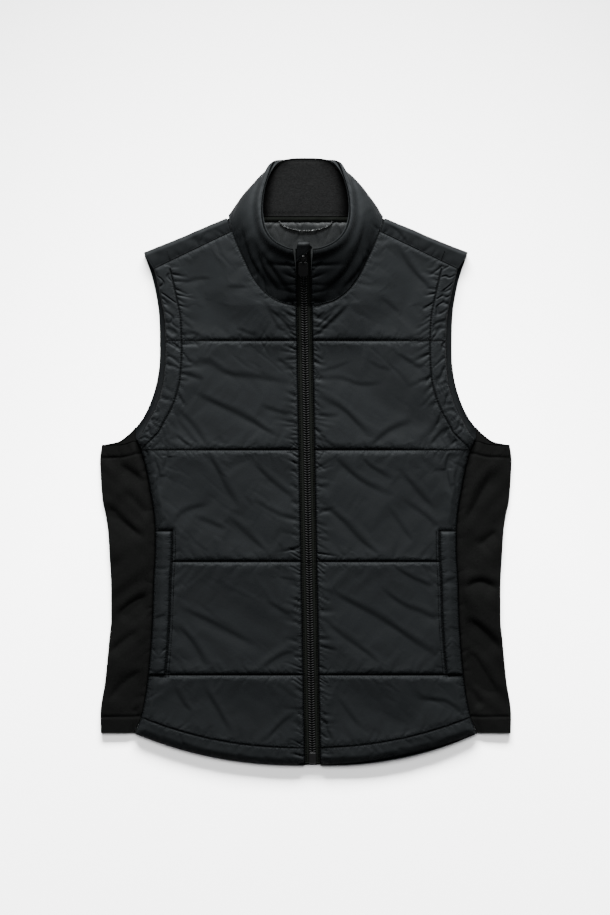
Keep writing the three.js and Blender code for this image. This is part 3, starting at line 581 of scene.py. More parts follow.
def enter(obj, node):
    """Enters a piece in the vest's body, in place of a node."""
    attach(obj, VEST)
    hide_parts(node)


def keep(obj, **fields):
    """Keeps numbers at the points of a mesh for its material: along and off its stitching, and painted shade.
    """
    for name, values in fields.items():
        obj.data.attributes.new(name, "FLOAT", "POINT").data.foreach_set("value", values.astype(np.float32))


def seam_shade(off, depth=0.75, wide=1.7):
    """Painted shade: how much the cloth's colour and shine are darkened in the groove beside its stitching.
    """
    return depth * (1 - smoothstep(off, 0.2, wide))


# Materials

def add_node(tree, kind, **values):
    made = tree.nodes.new(kind)
    for key, value in values.items():
        if key in made.inputs:
            made.inputs[key].default_value = value
        else:
            setattr(made, key, value)
    return made


class Finish:
    """A procedural material: a principled shader with colour that varies and layers of relief."""

    def __init__(self, name, color, roughness, sheen=0.0, specular=0.5):
        self.material = bpy.data.materials.new(name)
        self.material.use_nodes = True
        self.tree = self.material.node_tree
        self.shader = self.tree.nodes["Principled BSDF"]
        self.shader.inputs["Base Color"].default_value = (*color, 1)
        self.shader.inputs["Roughness"].default_value = roughness
        self.shader.inputs["Sheen Weight"].default_value = sheen
        self.shader.inputs["Sheen Roughness"].default_value = 0.5
        self.shader.inputs["Specular IOR Level"].default_value = specular
        self.shader.inputs["Specular Tint"].default_value = (*(0.6 + 0.4 * c / max(color) for c in color), 1)
        self.color = color
        self.place = add_node(self.tree, "ShaderNodeTexCoord")
        self.relief = None

    def link(self, a, b):
        self.tree.links.new(a, b)

    def noise(self, scale, detail=2.0, rough=0.5):
        texture = add_node(self.tree, "ShaderNodeTexNoise", Scale=scale, Detail=detail, Roughness=rough)
        self.link(self.spot(), texture.inputs["Vector"])
        return texture.outputs["Fac"]

    def spot(self, turn=0.0):
        if not turn:
            return self.place.outputs["Object"]
        mapping = add_node(self.tree, "ShaderNodeMapping")
        mapping.inputs["Rotation"].default_value = (0, 0, math.radians(turn))
        self.link(self.place.outputs["Object"], mapping.inputs["Vector"])
        return mapping.outputs["Vector"]

    def bands(self, period, direction="X", turn=0.0, distort=0.0):
        wave = add_node(self.tree, "ShaderNodeTexWave", Scale=2 * math.pi / (20 * period * MM),
                        Distortion=distort, Detail=0.0)
        wave.bands_direction = direction
        self.link(self.spot(turn), wave.inputs["Vector"])
        return wave.outputs["Fac"]

    def math(self, operation, a, b):
        made = add_node(self.tree, "ShaderNodeMath", operation=operation)
        for socket, value in zip(made.inputs, (a, b)):
            if isinstance(value, (int, float)):
                socket.default_value = value
            else:
                self.link(value, socket)
        return made.outputs[0]

    def raise_by(self, height, distance, strength=1.0):
        """Adds a layer of relief, distance in mm."""
        bump = add_node(self.tree, "ShaderNodeBump", Strength=strength, Distance=distance * MM)
        self.link(height, bump.inputs["Height"])
        if self.relief:
            self.link(self.relief, bump.inputs["Normal"])
        self.relief = bump.outputs["Normal"]
        self.link(self.relief, self.shader.inputs["Normal"])
        return self

    def field(self, name):
        return add_node(self.tree, "ShaderNodeAttribute", attribute_name=name).outputs["Fac"]

    def pucker(self, spacing, long, distance):
        """Small puckers at right angles to the nearest stitching, fading away from it."""
        along, off = self.field("along"), self.field("off")
        place = add_node(self.tree, "ShaderNodeCombineXYZ")
        self.link(self.math("MULTIPLY", along, 1 / spacing), place.inputs["X"])
        self.link(self.math("MULTIPLY", off, 1 / long), place.inputs["Y"])
        texture = add_node(self.tree, "ShaderNodeTexNoise", Scale=1.0, Detail=2.0, Roughness=0.6)
        self.link(place.outputs["Vector"], texture.inputs["Vector"])
        near = self.math("POWER", 2.718, self.math("MULTIPLY", off, -2.2 / long))
        ridge = self.math("ABSOLUTE", self.math("SUBTRACT", texture.outputs["Fac"], 0.5), 0.0)
        folds = self.math("MINIMUM", self.math("MULTIPLY", ridge, 7.0), 1.0)
        return self.raise_by(self.math("MULTIPLY", folds, near), distance)

    def crinkle(self, turn, long, short, distance):
        """Thin uneven folds that run mostly one way."""
        texture = add_node(self.tree, "ShaderNodeTexNoise", Scale=1.0, Detail=1.5, Roughness=0.45)
        mapping = add_node(self.tree, "ShaderNodeMapping", vector_type="TEXTURE")
        mapping.inputs["Rotation"].default_value = (0, 0, math.radians(turn))
        mapping.inputs["Scale"].default_value = (long * MM, short * MM, short * MM)
        self.link(self.place.outputs["Object"], mapping.inputs["Vector"])
        self.link(mapping.outputs["Vector"], texture.inputs["Vector"])
        ridge = self.math("ABSOLUTE", self.math("SUBTRACT", texture.outputs["Fac"], 0.5), 0.0)
        return self.raise_by(self.math("MINIMUM", self.math("MULTIPLY", ridge, 5.0), 1.0), distance)

    def vary(self, field, low, high, start=0.3, end=0.7):
        """Colour from low to high, as parts of the main colour, over a field."""
        ramp = add_node(self.tree, "ShaderNodeValToRGB")
        ramp.color_ramp.elements[0].position = start
        ramp.color_ramp.elements[1].position = end
        ramp.color_ramp.elements[0].color = (*(c * low for c in self.color), 1)
        ramp.color_ramp.elements[1].color = (*(c * high for c in self.color), 1)
        self.link(field, ramp.inputs["Fac"])
        self.link(ramp.outputs["Color"], self.shader.inputs["Base Color"])
        return self

    def shade(self):
        """Paints shade: dulls the colour and the shine by the painted shade kept at the points of the mesh.
        """
        left = self.math("SUBTRACT", 1.0, self.field("shade"))
        socket = self.shader.inputs["Base Color"]
        scaled = add_node(self.tree, "ShaderNodeVectorMath", operation="SCALE")
        self.link(socket.links[0].from_socket, scaled.inputs["Vector"])
        self.link(left, scaled.inputs["Scale"])
        self.link(scaled.outputs["Vector"], socket)
        shine = self.shader.inputs["Specular IOR Level"]
        self.link(self.math("MULTIPLY", left, shine.default_value), shine)
        return self

    def roughen(self, field, low, high):
        spread = add_node(self.tree, "ShaderNodeMapRange")
        spread.inputs["To Min"].default_value = low
        spread.inputs["To Max"].default_value = high
        self.link(field, spread.inputs["Value"])
        self.link(spread.outputs["Result"], self.shader.inputs["Roughness"])
        return self


def woven(finish, period, depth):
    """Plain weave: warp and weft that pass over each other."""
    weave = finish.math("MULTIPLY", finish.bands(period, "X"), finish.bands(period, "Y"))
    return finish.raise_by(weave, depth)


def shell_cloth():
    finish = Finish("shell_cloth", (0.0013, 0.00153, 0.00167), 0.5, specular=0.04)
    woven(finish, 0.55, 0.02)
    finish.raise_by(finish.noise(260, 3, 0.6), 0.08)
    finish.crinkle(-34, 80, 30, 0.1)
    finish.pucker(3.4, 7, 0.45)
    finish.vary(finish.noise(14, 4, 0.6), 0.9, 1.12).shade()
    return finish.roughen(finish.noise(40, 3), 0.58, 0.72).material


def shaded_garage_cloth():
    # A darker copy of the shell cloth: painted shade standing in for the shade on the zip garage.
    finish = Finish("shaded_garage_cloth", (0.0009, 0.00104, 0.00112), 0.55, specular=0.03)
    woven(finish, 0.55, 0.03)
    finish.raise_by(finish.noise(260, 3, 0.6), 0.12)
    return finish.vary(finish.noise(30, 4, 0.6), 0.85, 1.2).shade().material


def knit_cloth():
    finish = Finish("knit_cloth", (0.00072, 0.00075, 0.00072), 0.75, specular=0.018)
    wales = finish.bands(0.9, "X")
    rows = finish.bands(0.7, "Y", distort=0.6)
    finish.raise_by(finish.math("ADD", wales, finish.math("MULTIPLY", rows, 0.5)), 0.09)
    finish.raise_by(finish.noise(120, 3, 0.6), 0.2)
    return finish.vary(finish.noise(500, 2, 0.6), 0.8, 1.25).shade().material


def fleece_cloth():
    finish = Finish("fleece_cloth", (0.0020, 0.00206, 0.00206), 0.95, sheen=0.002, specular=0.015)
    finish.raise_by(finish.noise(700, 4, 0.7), 0.55)
    finish.raise_by(finish.noise(160, 3, 0.6), 0.5)
    return finish.vary(finish.noise(420, 3, 0.6), 0.75, 1.3).shade().material


def lining_cloth():
    finish = Finish("lining_cloth", (0.0019, 0.0021, 0.00215), 0.45, specular=0.035)
    woven(finish, 0.35, 0.03)
    finish.raise_by(finish.noise(140, 3, 0.5), 0.2)
    return finish.vary(finish.noise(30, 3), 0.92, 1.08).material


def tape_cloth():
    finish = Finish("tape_cloth", (0.00108, 0.00126, 0.00105), 0.75, specular=0.02)
    left, right = finish.bands(1.1, "DIAGONAL", 20), finish.bands(1.1, "DIAGONAL", -110)
    finish.raise_by(finish.math("MAXIMUM", left, right), 0.12)
    return finish.vary(finish.noise(300, 3, 0.6), 0.85, 1.2).shade().material


def cord_cloth():
    finish = Finish("braided_cord", (0.002, 0.0021, 0.0021), 0.8, specular=0.05)
    braid = finish.math("MAXIMUM", finish.bands(1.0, "X", 38), finish.bands(1.0, "X", -38))
    finish.raise_by(braid, 0.18)
    return finish.vary(finish.noise(1100, 1, 0.4), 0.6, 34.0, 0.6, 0.7).material


def plastic(name, shade, roughness, grain=0.04, specular=0.08):
    finish = Finish(name, (shade, shade * 1.02, shade * 1.03), roughness, specular=specular)
    finish.raise_by(finish.noise(900, 3, 0.6), grain)
    finish.vary(finish.noise(60, 3), 0.9, 1.15).shade()
    return finish.roughen(finish.noise(200, 2), roughness - 0.06, roughness + 0.08).material


SHELL_CLOTH = shell_cloth()
SHADED_GARAGE_CLOTH = shaded_garage_cloth()
KNIT_CLOTH = knit_cloth()
FLEECE_CLOTH = fleece_cloth()
LINING_CLOTH = lining_cloth()
TAPE_CLOTH = tape_cloth()
CORD_CLOTH = cord_cloth()
THREAD = plastic("thread", 0.0003, 0.8, 0.02, 0.004)
COIL = plastic("zip_coil", 0.0017, 0.5, 0.02, 0.03)
SLIDER_PAINT = plastic("slider_paint", 0.001, 0.35, 0.02, 0.08)
PULL_RUBBER = plastic("pull_rubber", 0.0008, 0.5, 0.04, 0.04)


# Stitches

def threads(paths, pitch=3.0, radius=0.42, gap=0.62):
    """Short raised stitches along paths of points, each a low capsule."""
    points, faces = [], []
    sides, rings = 6, [(-0.5, 0.25), (-0.36, 0.85), (0.0, 1.0), (0.36, 0.85), (0.5, 0.25)]
    for path in paths:
        p = np.asarray(path, float)
        run = lengths(p)
        for k in range(int(run[-1] / pitch)):
            middle = (k + 0.5) * pitch
            ends = np.array([[np.interp(middle + s * pitch, run, p[:, c]) for c in range(3)]
                             for s in (-0.5, 0.5)])
            along = ends[1] - ends[0]
            if np.linalg.norm(along) < 1e-6:
                continue
            along /= np.linalg.norm(along)
            side = np.cross(along, (0, 0, 1))
            side /= np.linalg.norm(side)
            up = np.cross(side, along)
            centre = ends.mean(axis=0)
            base = len(points)
            for share, fat in rings:
                for n in range(sides):
                    a = 2 * math.pi * n / sides
                    points.append(centre + along * share * pitch * gap
                                  + radius * fat * (math.cos(a) * side + math.sin(a) * up))
            faces += tube_faces(len(rings), sides, base)
    return np.array(points), faces


# Fronts

ROW_STOPS = [HEM_Y, HEM_STITCH_Y, *QUILT_Y, NECK_Y]
ROW_CELLS = [8, 30, 46, 46, 44, 14]
LOWER_CELLS, UPPER_CELLS, ACROSS_CELLS = sum(ROW_CELLS), 32, 72


def crowded(count, share):
    """Even steps from 0 to 1 that crowd together at both ends."""
    t = np.linspace(0, 1, count + 1)
    return t - share * np.sin(2 * math.pi * t) / (2 * math.pi)


def front_rows():
    parts = [lerp(low, high, crowded(cells, 0.45 if high - low > 60 else 0.0))[:-1]
             for low, high, cells in zip(ROW_STOPS, ROW_STOPS[1:], ROW_CELLS)]
    return np.concatenate([*parts, [NECK_Y]])


def front_ends(side):
    """The two ends of every row of a front's grid, and the power of the curve between them."""
    y = front_rows()
    outer_y = np.interp(y, [HEM_Y, HEM_STITCH_Y, QUILT_Y[0], NECK_Y],
                        [SIDE_HEM_Y, SIDE_STITCH_Y, QUILT_Y[0], NECK_Y])
    lower_from = np.stack([zip_x(y) + side * ZIP_HALF, y], axis=-1)
    lower_to = np.stack([side * front_outer_x(outer_y), outer_y], axis=-1)
    share = np.linspace(0, 1, UPPER_CELLS + 1)[1:]
    upper_from = spline(NECKLINE, share)
    upper_from[:, 0] = side * upper_from[:, 0] + neck_lean(share)
    outer_y = lerp(NECK_Y, SHOULDER_SEAM[-1][1], share)
    upper_to = np.stack([side * front_armhole(outer_y), outer_y], axis=-1)
    power = np.concatenate([np.full(LOWER_CELLS + 1, HEM_CURVE), np.ones(UPPER_CELLS)])
    return np.vstack([lower_from, upper_from]), np.vstack([lower_to, upper_to]), power


def front_plan(side):
    start, end, power = front_ends(side)
    t = crowded(ACROSS_CELLS, 0.3)[None, :]
    x = lerp(start[:, :1], end[:, :1], t)
    y = lerp(start[:, 1:], end[:, 1:], t ** power[:, None])
    return x, y


def front_lines(side):
    """Every line of stitching or edge of a front, by name."""
    mirror = lambda line: np.asarray(line, float) * (side, 1)
    zip_y = np.linspace(HEM_Y, NECK_Y, 12)
    hem_x = np.linspace(0, float(side_seam(SIDE_STITCH_Y)), 24)
    edge_x = np.linspace(0, float(side_seam(SIDE_HEM_Y)), 24)
    pocket_x = lambda y, inset: float(side_seam(y)) - inset
    shoulder_y = SHOULDER_SEAM[-1][1]
    band = upright(lambda y: front_armhole(y) - STITCH_IN, SIDE_TOP_Y, shoulder_y)
    lines = {
        "zip": np.stack([zip_x(zip_y) + side * ZIP_HALF, zip_y], axis=-1),
        "neck": mirror(neck_points),
        "shoulder": mirror(SHOULDER_SEAM),
        "side": mirror(upright(side_seam, SIDE_HEM_Y, SIDE_TOP_Y)),
        "arm": mirror(upright(front_armhole, SIDE_TOP_Y, shoulder_y)),
        "arm_stitch": mirror(np.vstack([[(200, 13.5), (193.5, 20)], band])),
        "hem_stitch": mirror(np.stack([hem_x, hem_stitch_y(hem_x)], axis=-1)),
        "hem": mirror(np.stack([edge_x, hem_y(edge_x)], axis=-1)),
        "pocket": mirror(upright(lambda y: side_seam(y) - STITCH_IN, POCKET_BOTTOM_Y, POCKET_TOP_Y, 16)),
        "pocket_top": mirror([(pocket_x(POCKET_TOP_Y, STITCH_IN), POCKET_TOP_Y),
                              (pocket_x(POCKET_TOP_Y, 0), POCKET_TOP_Y)]),
        "pocket_foot": mirror([(pocket_x(POCKET_BOTTOM_Y, STITCH_IN), POCKET_BOTTOM_Y),
                               (pocket_x(POCKET_BOTTOM_Y, 0), POCKET_BOTTOM_Y)]),
    }
    for number, y in enumerate(QUILT_Y):
        inset = STITCH_IN if y < POCKET_TOP_Y else 0
        outer = side * (float(front_outer_x(y)) - inset)
        lines[f"quilt_{number}"] = np.array([(float(zip_x(y)), y), (outer, y)])
    return lines


# Beside each line of a front: thickness there and how fast it fills out, then the puckers'
# spacing, reach, depth and slant
BESIDE = {
    "zip": (5.6, 2.2, 5.5, 12.0, 2.1, 0.5),
    "neck": (5.6, 2.6, 9.0, 14.0, 0.5, 0.3),
    "shoulder": (5.4, 2.8, 10.0, 9.0, 0.4, 0.0),
    "side": (4.2, 3.0, 9.0, 8.0, 0.8, 0.3),
    "arm": (4.4, 2.4, 9.0, 5.0, 0.7, 0.0),
    "arm_stitch": (5.8, 2.2, 8.0, 13.0, 2.0, -0.5),
    "hem_stitch": (6.3, 2.2, 8.0, 8.0, 0.8, 0.2),
    "hem": (4.8, 2.2, 16.0, 9.0, 0.8, 0.6),
    "pocket": (4.6, 2.6, 11.0, 8.0, 0.9, 0.2),
    "pocket_top": (4.6, 3.0, 9.0, 6.0, 0.6, 0.0),
    "pocket_foot": (4.6, 3.0, 9.0, 6.0, 0.6, 0.0),
    "quilt_0": (4.9, 3.4, 7.0, 8.0, 0.7, 0.3),
    "quilt_1": (4.9, 3.4, 7.0, 8.0, 0.7, 0.3),
    "quilt_2": (4.9, 3.4, 7.0, 9.0, 0.8, -0.3),
    "quilt_3": (4.9, 3.4, 7.0, 9.0, 0.9, 0.3),
}
CLOTH_EDGES = ("zip", "hem", "arm", "side")
SOFT_MIN = 0.5


def front_inside(side, x, y):
    edges = [front_lines(side)[name] for name in ("side", "hem")]
    d = np.minimum(*(nearest(edge, x, y)[0] for edge in edges))
    return lerp(FRONT_INSIDE_AT_SIDE, FRONT_INSIDE, smoothstep(d, 0, EDGE_FALL - 2)) + neck_lift(x, y)


def front_height(side, x, y, detail):
    """Height of a front's outer face: its padding between the seams and, with detail, creases and puckers."""
    found = {name: nearest(line, x, y) for name, line in front_lines(side).items()}
    d = np.min([distance for distance, _ in found.values()], axis=0)
    total = 0.0
    for name, (thick, reach, *_) in BESIDE.items():
        distance = found[name][0]
        if name in ("quilt_2", "quilt_3"):
            thick = lerp(thick, 6.4, smoothstep(np.abs(x), 90, 165))
        full = 0.76 * (1 - np.exp(-distance / reach)) + 0.24 * rounded(distance / 30)
        total += np.exp(-lerp(thick, CROWN_THICK, full) / SOFT_MIN)
    height = front_inside(side, x, y) - SOFT_MIN * np.log(total)
    if not detail:
        return height
    edge = np.min([found[name][0] for name in CLOTH_EDGES], axis=0)
    height -= 1.3 * (1 - rounded(edge / 1.8))
    soft = smoothstep(d, 0.5, 9)
    in_band = 1 - smoothstep(found["arm"][0] + found["arm_stitch"][0], STITCH_IN + 0.5, STITCH_IN + 3)
    ticks = np.abs(ripples(side * x, y, 34, 17, 6, 61 + side))
    height -= 1.5 * in_band * (1 - np.minimum(ticks * 3.5, 1)) * smoothstep(d, 0.5, 4)
    for seed, (name, (_, _, spacing, reach, depth, slant)) in enumerate(BESIDE.items()):
        distance, place = found[name]
        lean = -side * slant if name == "zip" else slant
        others = np.min([found[other][0] for other in found if other != name], axis=0)
        puckers = gathers(place, distance, spacing, reach, depth, lean, 100 * seed + (side + 2))
        puckers = puckers * smoothstep(others, 0, 3)
        height -= puckers * (1 - in_band) if name == "arm_stitch" else puckers
    height -= creased(CREASES_FRONT[side], x, y) * (0.35 + 0.65 * soft)
    waves = 0.6 * ripples(x, y, -38, 120, 38, 11 + side) + 0.12 * ripples(x, y, -30, 90, 15, 21 + side)
    folds = np.abs(ripples(x, y, -42, 90, 13, 24 + side))
    folds = folds + 0.6 * np.abs(ripples(x, y, -26, 60, 10, 27 + side))
    uneven = 0.5 + ripples(x, y, 0, 50, 50, 30 + side)
    return height + soft * (waves - 0.25 * (1 - np.minimum(folds * 3, 1)) * uneven)


def front(name, side):
    x, y = front_plan(side)
    base = np.stack([x, y, front_height(side, x, y, False)], axis=-1)
    shape = base.copy()
    shape[..., 2] += front_height(side, x, y, True) * 0.5 - base[..., 2] * 0.5
    d = np.min([nearest(line, x, y)[0] for line in front_lines(side).values()], axis=0)
    lines = front_lines(side)
    inside = np.min([nearest(lines[name], x, y)[0] for name in ("arm", "hem", "side")], axis=0)
    gathered = np.exp(-d / 8) * lerp(0.35, 1, smoothstep(inside, STITCH_IN - 3, STITCH_IN + 3))
    settled = settle(shape, 1 - smoothstep(d, 1, 3.5), gathered, grow=(0.001, 0.03), pressure=0.6, cap=2.0)
    moved = refined(settled - shape)
    fine = refined(np.stack([x, y, base[..., 2]], axis=-1))
    fine[..., 2] = front_height(side, fine[..., 0], fine[..., 1], True)
    top = fine + moved
    found = [nearest(line, fine[..., 0], fine[..., 1]) for line in front_lines(side).values()]
    off = np.array([distance for distance, _ in found])
    which = off.argmin(axis=0)[None]
    places = np.array([place + 1000 * n for n, (_, place) in enumerate(found)])
    along = np.take_along_axis(places, which, 0)[0]
    bottom = fine.copy()
    bottom[..., 2] = front_inside(side, fine[..., 0], fine[..., 1])
    top[..., 2] = np.maximum(top[..., 2], bottom[..., 2] + 0.6)
    obj = mesh_object(name + "_padded", [shell(top, bottom)], SHELL_CLOTH)
    # Painted shade: the cloth and its shine darkened in the grooves beside every seam and edge, and more
    # widely beside the neckline.
    painted_neck_shade = seam_shade(nearest(lines["neck"], fine[..., 0], fine[..., 1])[0], 0.8, 2.8)
    shade = np.maximum(seam_shade(off.min(axis=0)), painted_neck_shade)
    keep(obj, along=both_faces(along), off=both_faces(off.min(axis=0)), shade=both_faces(shade))
    enter(obj, name)


# Pocket welts

WELT_THICK = 1.5


def welt(name, side):
    rows, columns = 144, 24
    v = np.linspace(0, 1, rows + 1)[:, None]
    u = np.linspace(0, 1, columns + 1)[None, :]
    y = lerp(POCKET_BOTTOM_Y, POCKET_TOP_Y, v) + 0 * u
    x = side * (side_seam(y) - lerp(STITCH_IN, GAP, u))
    base = front_height(side, x, y, False)
    width, length = STITCH_IN, POCKET_TOP_Y - POCKET_BOTTOM_Y
    edge = np.minimum(np.minimum(u * width, (1 - u) * width), np.minimum(v * length, (1 - v) * length))
    round_off = rounded(edge / 1.6)
    across = np.minimum(u, 1 - u) * width
    top = base + GAP + (WELT_THICK + 0.5 * (1 - np.exp(-edge / 4))) * lerp(0.5, 1, round_off)
    top -= creased(CREASES_WELT[side], x, y)
    top -= gathers(v * length, across, 8, 7, 0.8, 0.2, 77 + side)
    top += 0.35 * ripples(x, y, 8, 30, 9, 41 + side)
    low = np.stack([x, y, base + GAP], axis=-1)
    obj = mesh_object(name + "_padded", [shell(np.stack([x, y, top], axis=-1), low)], SHELL_CLOTH)
    # Painted shade in the groove along the welt's edges.
    keep(obj, along=both_faces(v * length + 300 * u.round()), off=both_faces(across + 0 * v),
         shade=both_faces(seam_shade(edge)))
    enter(obj, name)


# Back, with its shoulders turned over

SHOULDER_THICK = 5.0
SHOULDER_TOP_Z = 10.0
SHOULDER_LENGTH = 105.0
TURN_FROM, TURN_TO = 0.25, 0.65
BACK_FALL = 14.0


def back_half(y):
    fold_end, fold_start = SHOULDER_FOLD[-1][1], SHOULDER_FOLD[0][1]
    return np.select(
        [y < SIDE_TOP_Y, y < BACK_SIDE_TOP_Y, y < fold_end, y < fold_start],
        [side_seam(y) + GAP, lerp(206.3, 206.5, (y - SIDE_TOP_Y) / 14), back_armhole(y),
         shoulder_fold_x(y) - 3],
        lerp(92.5, 86, (y - fold_start) / (BACK_NECK_Y - fold_start)))


def back_edges():
    edge_x = np.linspace(0, float(side_seam(SIDE_HEM_Y)), 24)
    return [upright(back_half, SIDE_HEM_Y, BACK_NECK_Y, 90),
            np.array([(0, BACK_NECK_Y), (86, BACK_NECK_Y)]),
            np.stack([edge_x, hem_y(edge_x)], axis=-1)]


def back_top(x, y):
    d = np.min([nearest(line, np.abs(x), y)[0] for line in back_edges()], axis=0)
    slow = lerp(BACK_EDGE_THICK, BACK_THICK, smoothstep(d, 0, BACK_FALL))
    quick = lerp(BACK_EDGE_THICK, BACK_THICK, rounded(d / 5))
    return lerp(slow, quick, smoothstep(y, 50, 70) * (1 - smoothstep(y, 225, 240)))


def back_body():
    rows, columns = 224, 120
    y0 = np.linspace(SIDE_HEM_Y, BACK_NECK_Y, rows + 1)[:, None]
    u = np.linspace(-1, 1, columns + 1)[None, :]
    x = u * back_half(y0)
    drop = (hem_y(x) - SIDE_HEM_Y) * np.clip((QUILT_Y[0] - y0) / (QUILT_Y[0] - SIDE_HEM_Y), 0, 1)
    y = y0 + drop
    top = back_top(x, y)
    edge = np.min([nearest(line, np.abs(x), y)[0] for line in back_edges()], axis=0)
    round_off = 1 - rounded(edge / 2.5)
    top -= 0.8 * round_off
    top -= gathers(y + 400, edge, 9, 9, 0.9, 0.2, 56) * smoothstep(y, 45, 60)
    quilt = np.min([np.abs(y - at) for at in QUILT_Y], axis=0)
    under = 1.1 * np.exp(-(quilt / 2.5) ** 2) + 0.9 * round_off
    under += gathers(x + 240, quilt, 13, 9, 0.5, 0.2, 55) * np.minimum(edge / 8, 1)
    under += 0.5 * np.exp(-((edge - STITCH_IN) / 2) ** 2)
    face = np.stack([x, y, np.maximum(under, 0)], axis=-1)
    return shell(face, np.stack([x, y, top], axis=-1))


def shoulder(side):
    """The back's shoulder, turned over to meet the front at the shoulder seam."""
    along, around = 80, 48
    u = np.linspace(0, 1, along + 1)
    fold = spline(SHOULDER_FOLD, u)
    seam = spline(SHOULDER_SEAM, lerp(0.02, 1, u))
    middle = SHOULDER_THICK / 2
    radius = (SHOULDER_TOP_Z - middle) / 2
    inward = seam - fold
    inward /= np.linalg.norm(inward, axis=-1, keepdims=True)
    grid = np.zeros((around + 1, along + 1, 3))
    for row, v in enumerate(np.linspace(0, 1, around + 1)):
        turn = min(max((v - TURN_FROM) / (TURN_TO - TURN_FROM), 0), 1) * math.pi
        centre = fold + inward * (radius + middle)
        place = centre - inward * radius * math.sin(turn)
        if v < TURN_FROM:
            place = lerp(centre + inward * 4, centre, v / TURN_FROM)
        z = np.full(len(u), middle + radius * (1 - math.cos(turn)))
        if v > TURN_TO:
            t = (v - TURN_TO) / (1 - TURN_TO)
            place = lerp(place, seam - inward * (GAP + 0.4), t)
            z = lerp(z, SHOULDER_TOP_Z, t)
        grid[row, :, :2] = place
        grid[row, :, 2] = z
    n = normals(grid)
    if n[-1, along // 2, 2] < 0:
        n = -n
    x, y = side * grid[..., 0], grid[..., 1]
    v = np.linspace(0, 1, around + 1)[:, None]
    from_seam, _ = nearest(np.asarray(SHOULDER_SEAM, float), grid[..., 0], y)
    ends = np.minimum(u, 1 - u)[None, :] * SHOULDER_LENGTH
    thinner = np.where(v > TURN_TO, 1 - 0.55 * np.exp(-from_seam / 4), 1)
    thick = middle * thinner * rounded((ends + 0.6) / 2.2)
    puckers = gathers(u[None, :] * SHOULDER_LENGTH + 0 * v, from_seam, 9, 9, 0.9, 0.0, 61 + side)
    relief = (creased(CREASES_SHOULDER, x, y) + puckers) * smoothstep(v, 0.5, 0.75)
    outer = grid + n * (thick - relief)[..., None]
    outer += n * (0.4 * ripples(x, y, 20 * side, 24, 8, 51 + side) * smoothstep(v, 0.3, 0.6))[..., None]
    inner = grid - n * middle
    for face in (outer, inner):
        face[..., 0] *= side
        face[..., 2] = np.maximum(face[..., 2], 0)
    # Painted shade: darker beside the shoulder seam on the turned-over part, and the whole shoulder darkened
    # a little.
    return shell(outer, inner), both_faces(np.maximum(seam_shade(from_seam, 0.75, 2.4) * (v > 0.7), 0.15))


def back():
    (left, left_shade), (right, right_shade) = shoulder(-1), shoulder(1)
    body = back_body()
    obj = mesh_object("back_padded", [body, left, right], SHELL_CLOTH)
    shade = np.concatenate([np.zeros(len(body[0])), left_shade, right_shade])
    keep(obj, shade=shade, off=np.full(shade.shape, 99.0))
    enter(obj, "back")


# Side panels

KNIT_THICK = 1.6
SIDE_TOP_Z = 5.6
ARM_BAND = 15.0


def side_panel(name, side):
    up, around = 240, 96
    u = np.linspace(0, 1, up + 1)[:, None]
    v = np.linspace(0, 1, around + 1)[None, :]
    low = KNIT_THICK / 2
    radius = (SIDE_TOP_Z - KNIT_THICK) / 2 - 0.1
    turn = np.clip((v - 0.35) / 0.3, 0, 1) * math.pi
    along = np.where(v < 0.5, np.clip(v / 0.35, 0, 1), np.clip((1 - v) / 0.35, 0, 1))
    top_x = lerp(float(side_seam(SIDE_TOP_Y)), float(side_fold(20)), along)
    bend = smoothstep(v, 0.35, 0.65)
    back_top_y = np.minimum(back_armhole_y(top_x), BACK_SIDE_TOP_Y)
    top_y = lerp(np.maximum(front_armhole_y(top_x), 20), back_top_y, bend)
    y = lerp(SIDE_HEM_Y, top_y, u)
    fold_x = side_fold(y) - KNIT_THICK / 2 - radius
    x = lerp(side_seam(y) + GAP, fold_x, along) + radius * np.sin(turn)
    z = low + radius * (1 + np.cos(turn)) + 0 * u
    on_top = (1 - bend) * smoothstep(along, 0.02, 0.25)
    upper = smoothstep(y, -150, -90)
    slack = 0.0
    for high, long, short, seed in ((2.3, 130, 27, 71 + side), (0.8, 80, 11, 73 + side)):
        down, up_way = (ripples(side * x, y, angle * side, long, short, seed) for angle in (-38, 46))
        slack = slack + high * lerp(down, up_way, upper)
    wave = (1.8 + slack - 2.8 * creased(CREASES_SIDE[side], side * x, y, 1.8)) * on_top
    seam_d = x - side_seam(y)
    wave -= gathers(y + 335, seam_d, 14, 9, 0.9, 0.3 * side, 81 + side) * (1 - bend)
    below = smoothstep(SIDE_STITCH_Y - y, -0.8, 0.8)
    band = smoothstep(y - top_y + ARM_BAND, -0.8, 0.8)
    wave = lerp(wave, (1.8 + 0.5 * slack) * on_top, np.maximum(below, band))
    hem_line = np.exp(-((y - SIDE_STITCH_Y) / 1.5) ** 2) + np.exp(-((top_y - ARM_BAND - y) / 1.5) ** 2)
    wave -= hem_line * (1 - bend)
    wave -= gathers(along * 60, np.abs(top_y - ARM_BAND - y), 8, 7, 0.8, 0.3, 83 + side) * (1 - bend)
    z = z + np.maximum(wave, -1.6)
    grid = np.stack([side * x + 0 * z, y, z], axis=-1)
    n = normals(grid)
    if n[up // 2, 2, 2] < 0:
        n = -n
    outer, inner = grid + n * low, grid - n * low
    for face in (outer, inner):
        face[..., 2] = np.maximum(face[..., 2], 0)
    obj = mesh_object(name + "_knit", [shell(outer, inner, 2)], KNIT_CLOTH)
    # Painted shade in the grooves beside the hem and armhole-band stitching and the side seam, on the upper
    # layer only.
    stitches = np.minimum(np.abs(y - SIDE_STITCH_Y), np.abs(top_y - ARM_BAND - y))
    seams = np.minimum(stitches, np.abs(seam_d) * 0.8)
    keep(obj, shade=both_faces(seam_shade(seams + 0.6 * bend * 9, 0.6, 1.8), 2))
    enter(obj, name)


# Collar

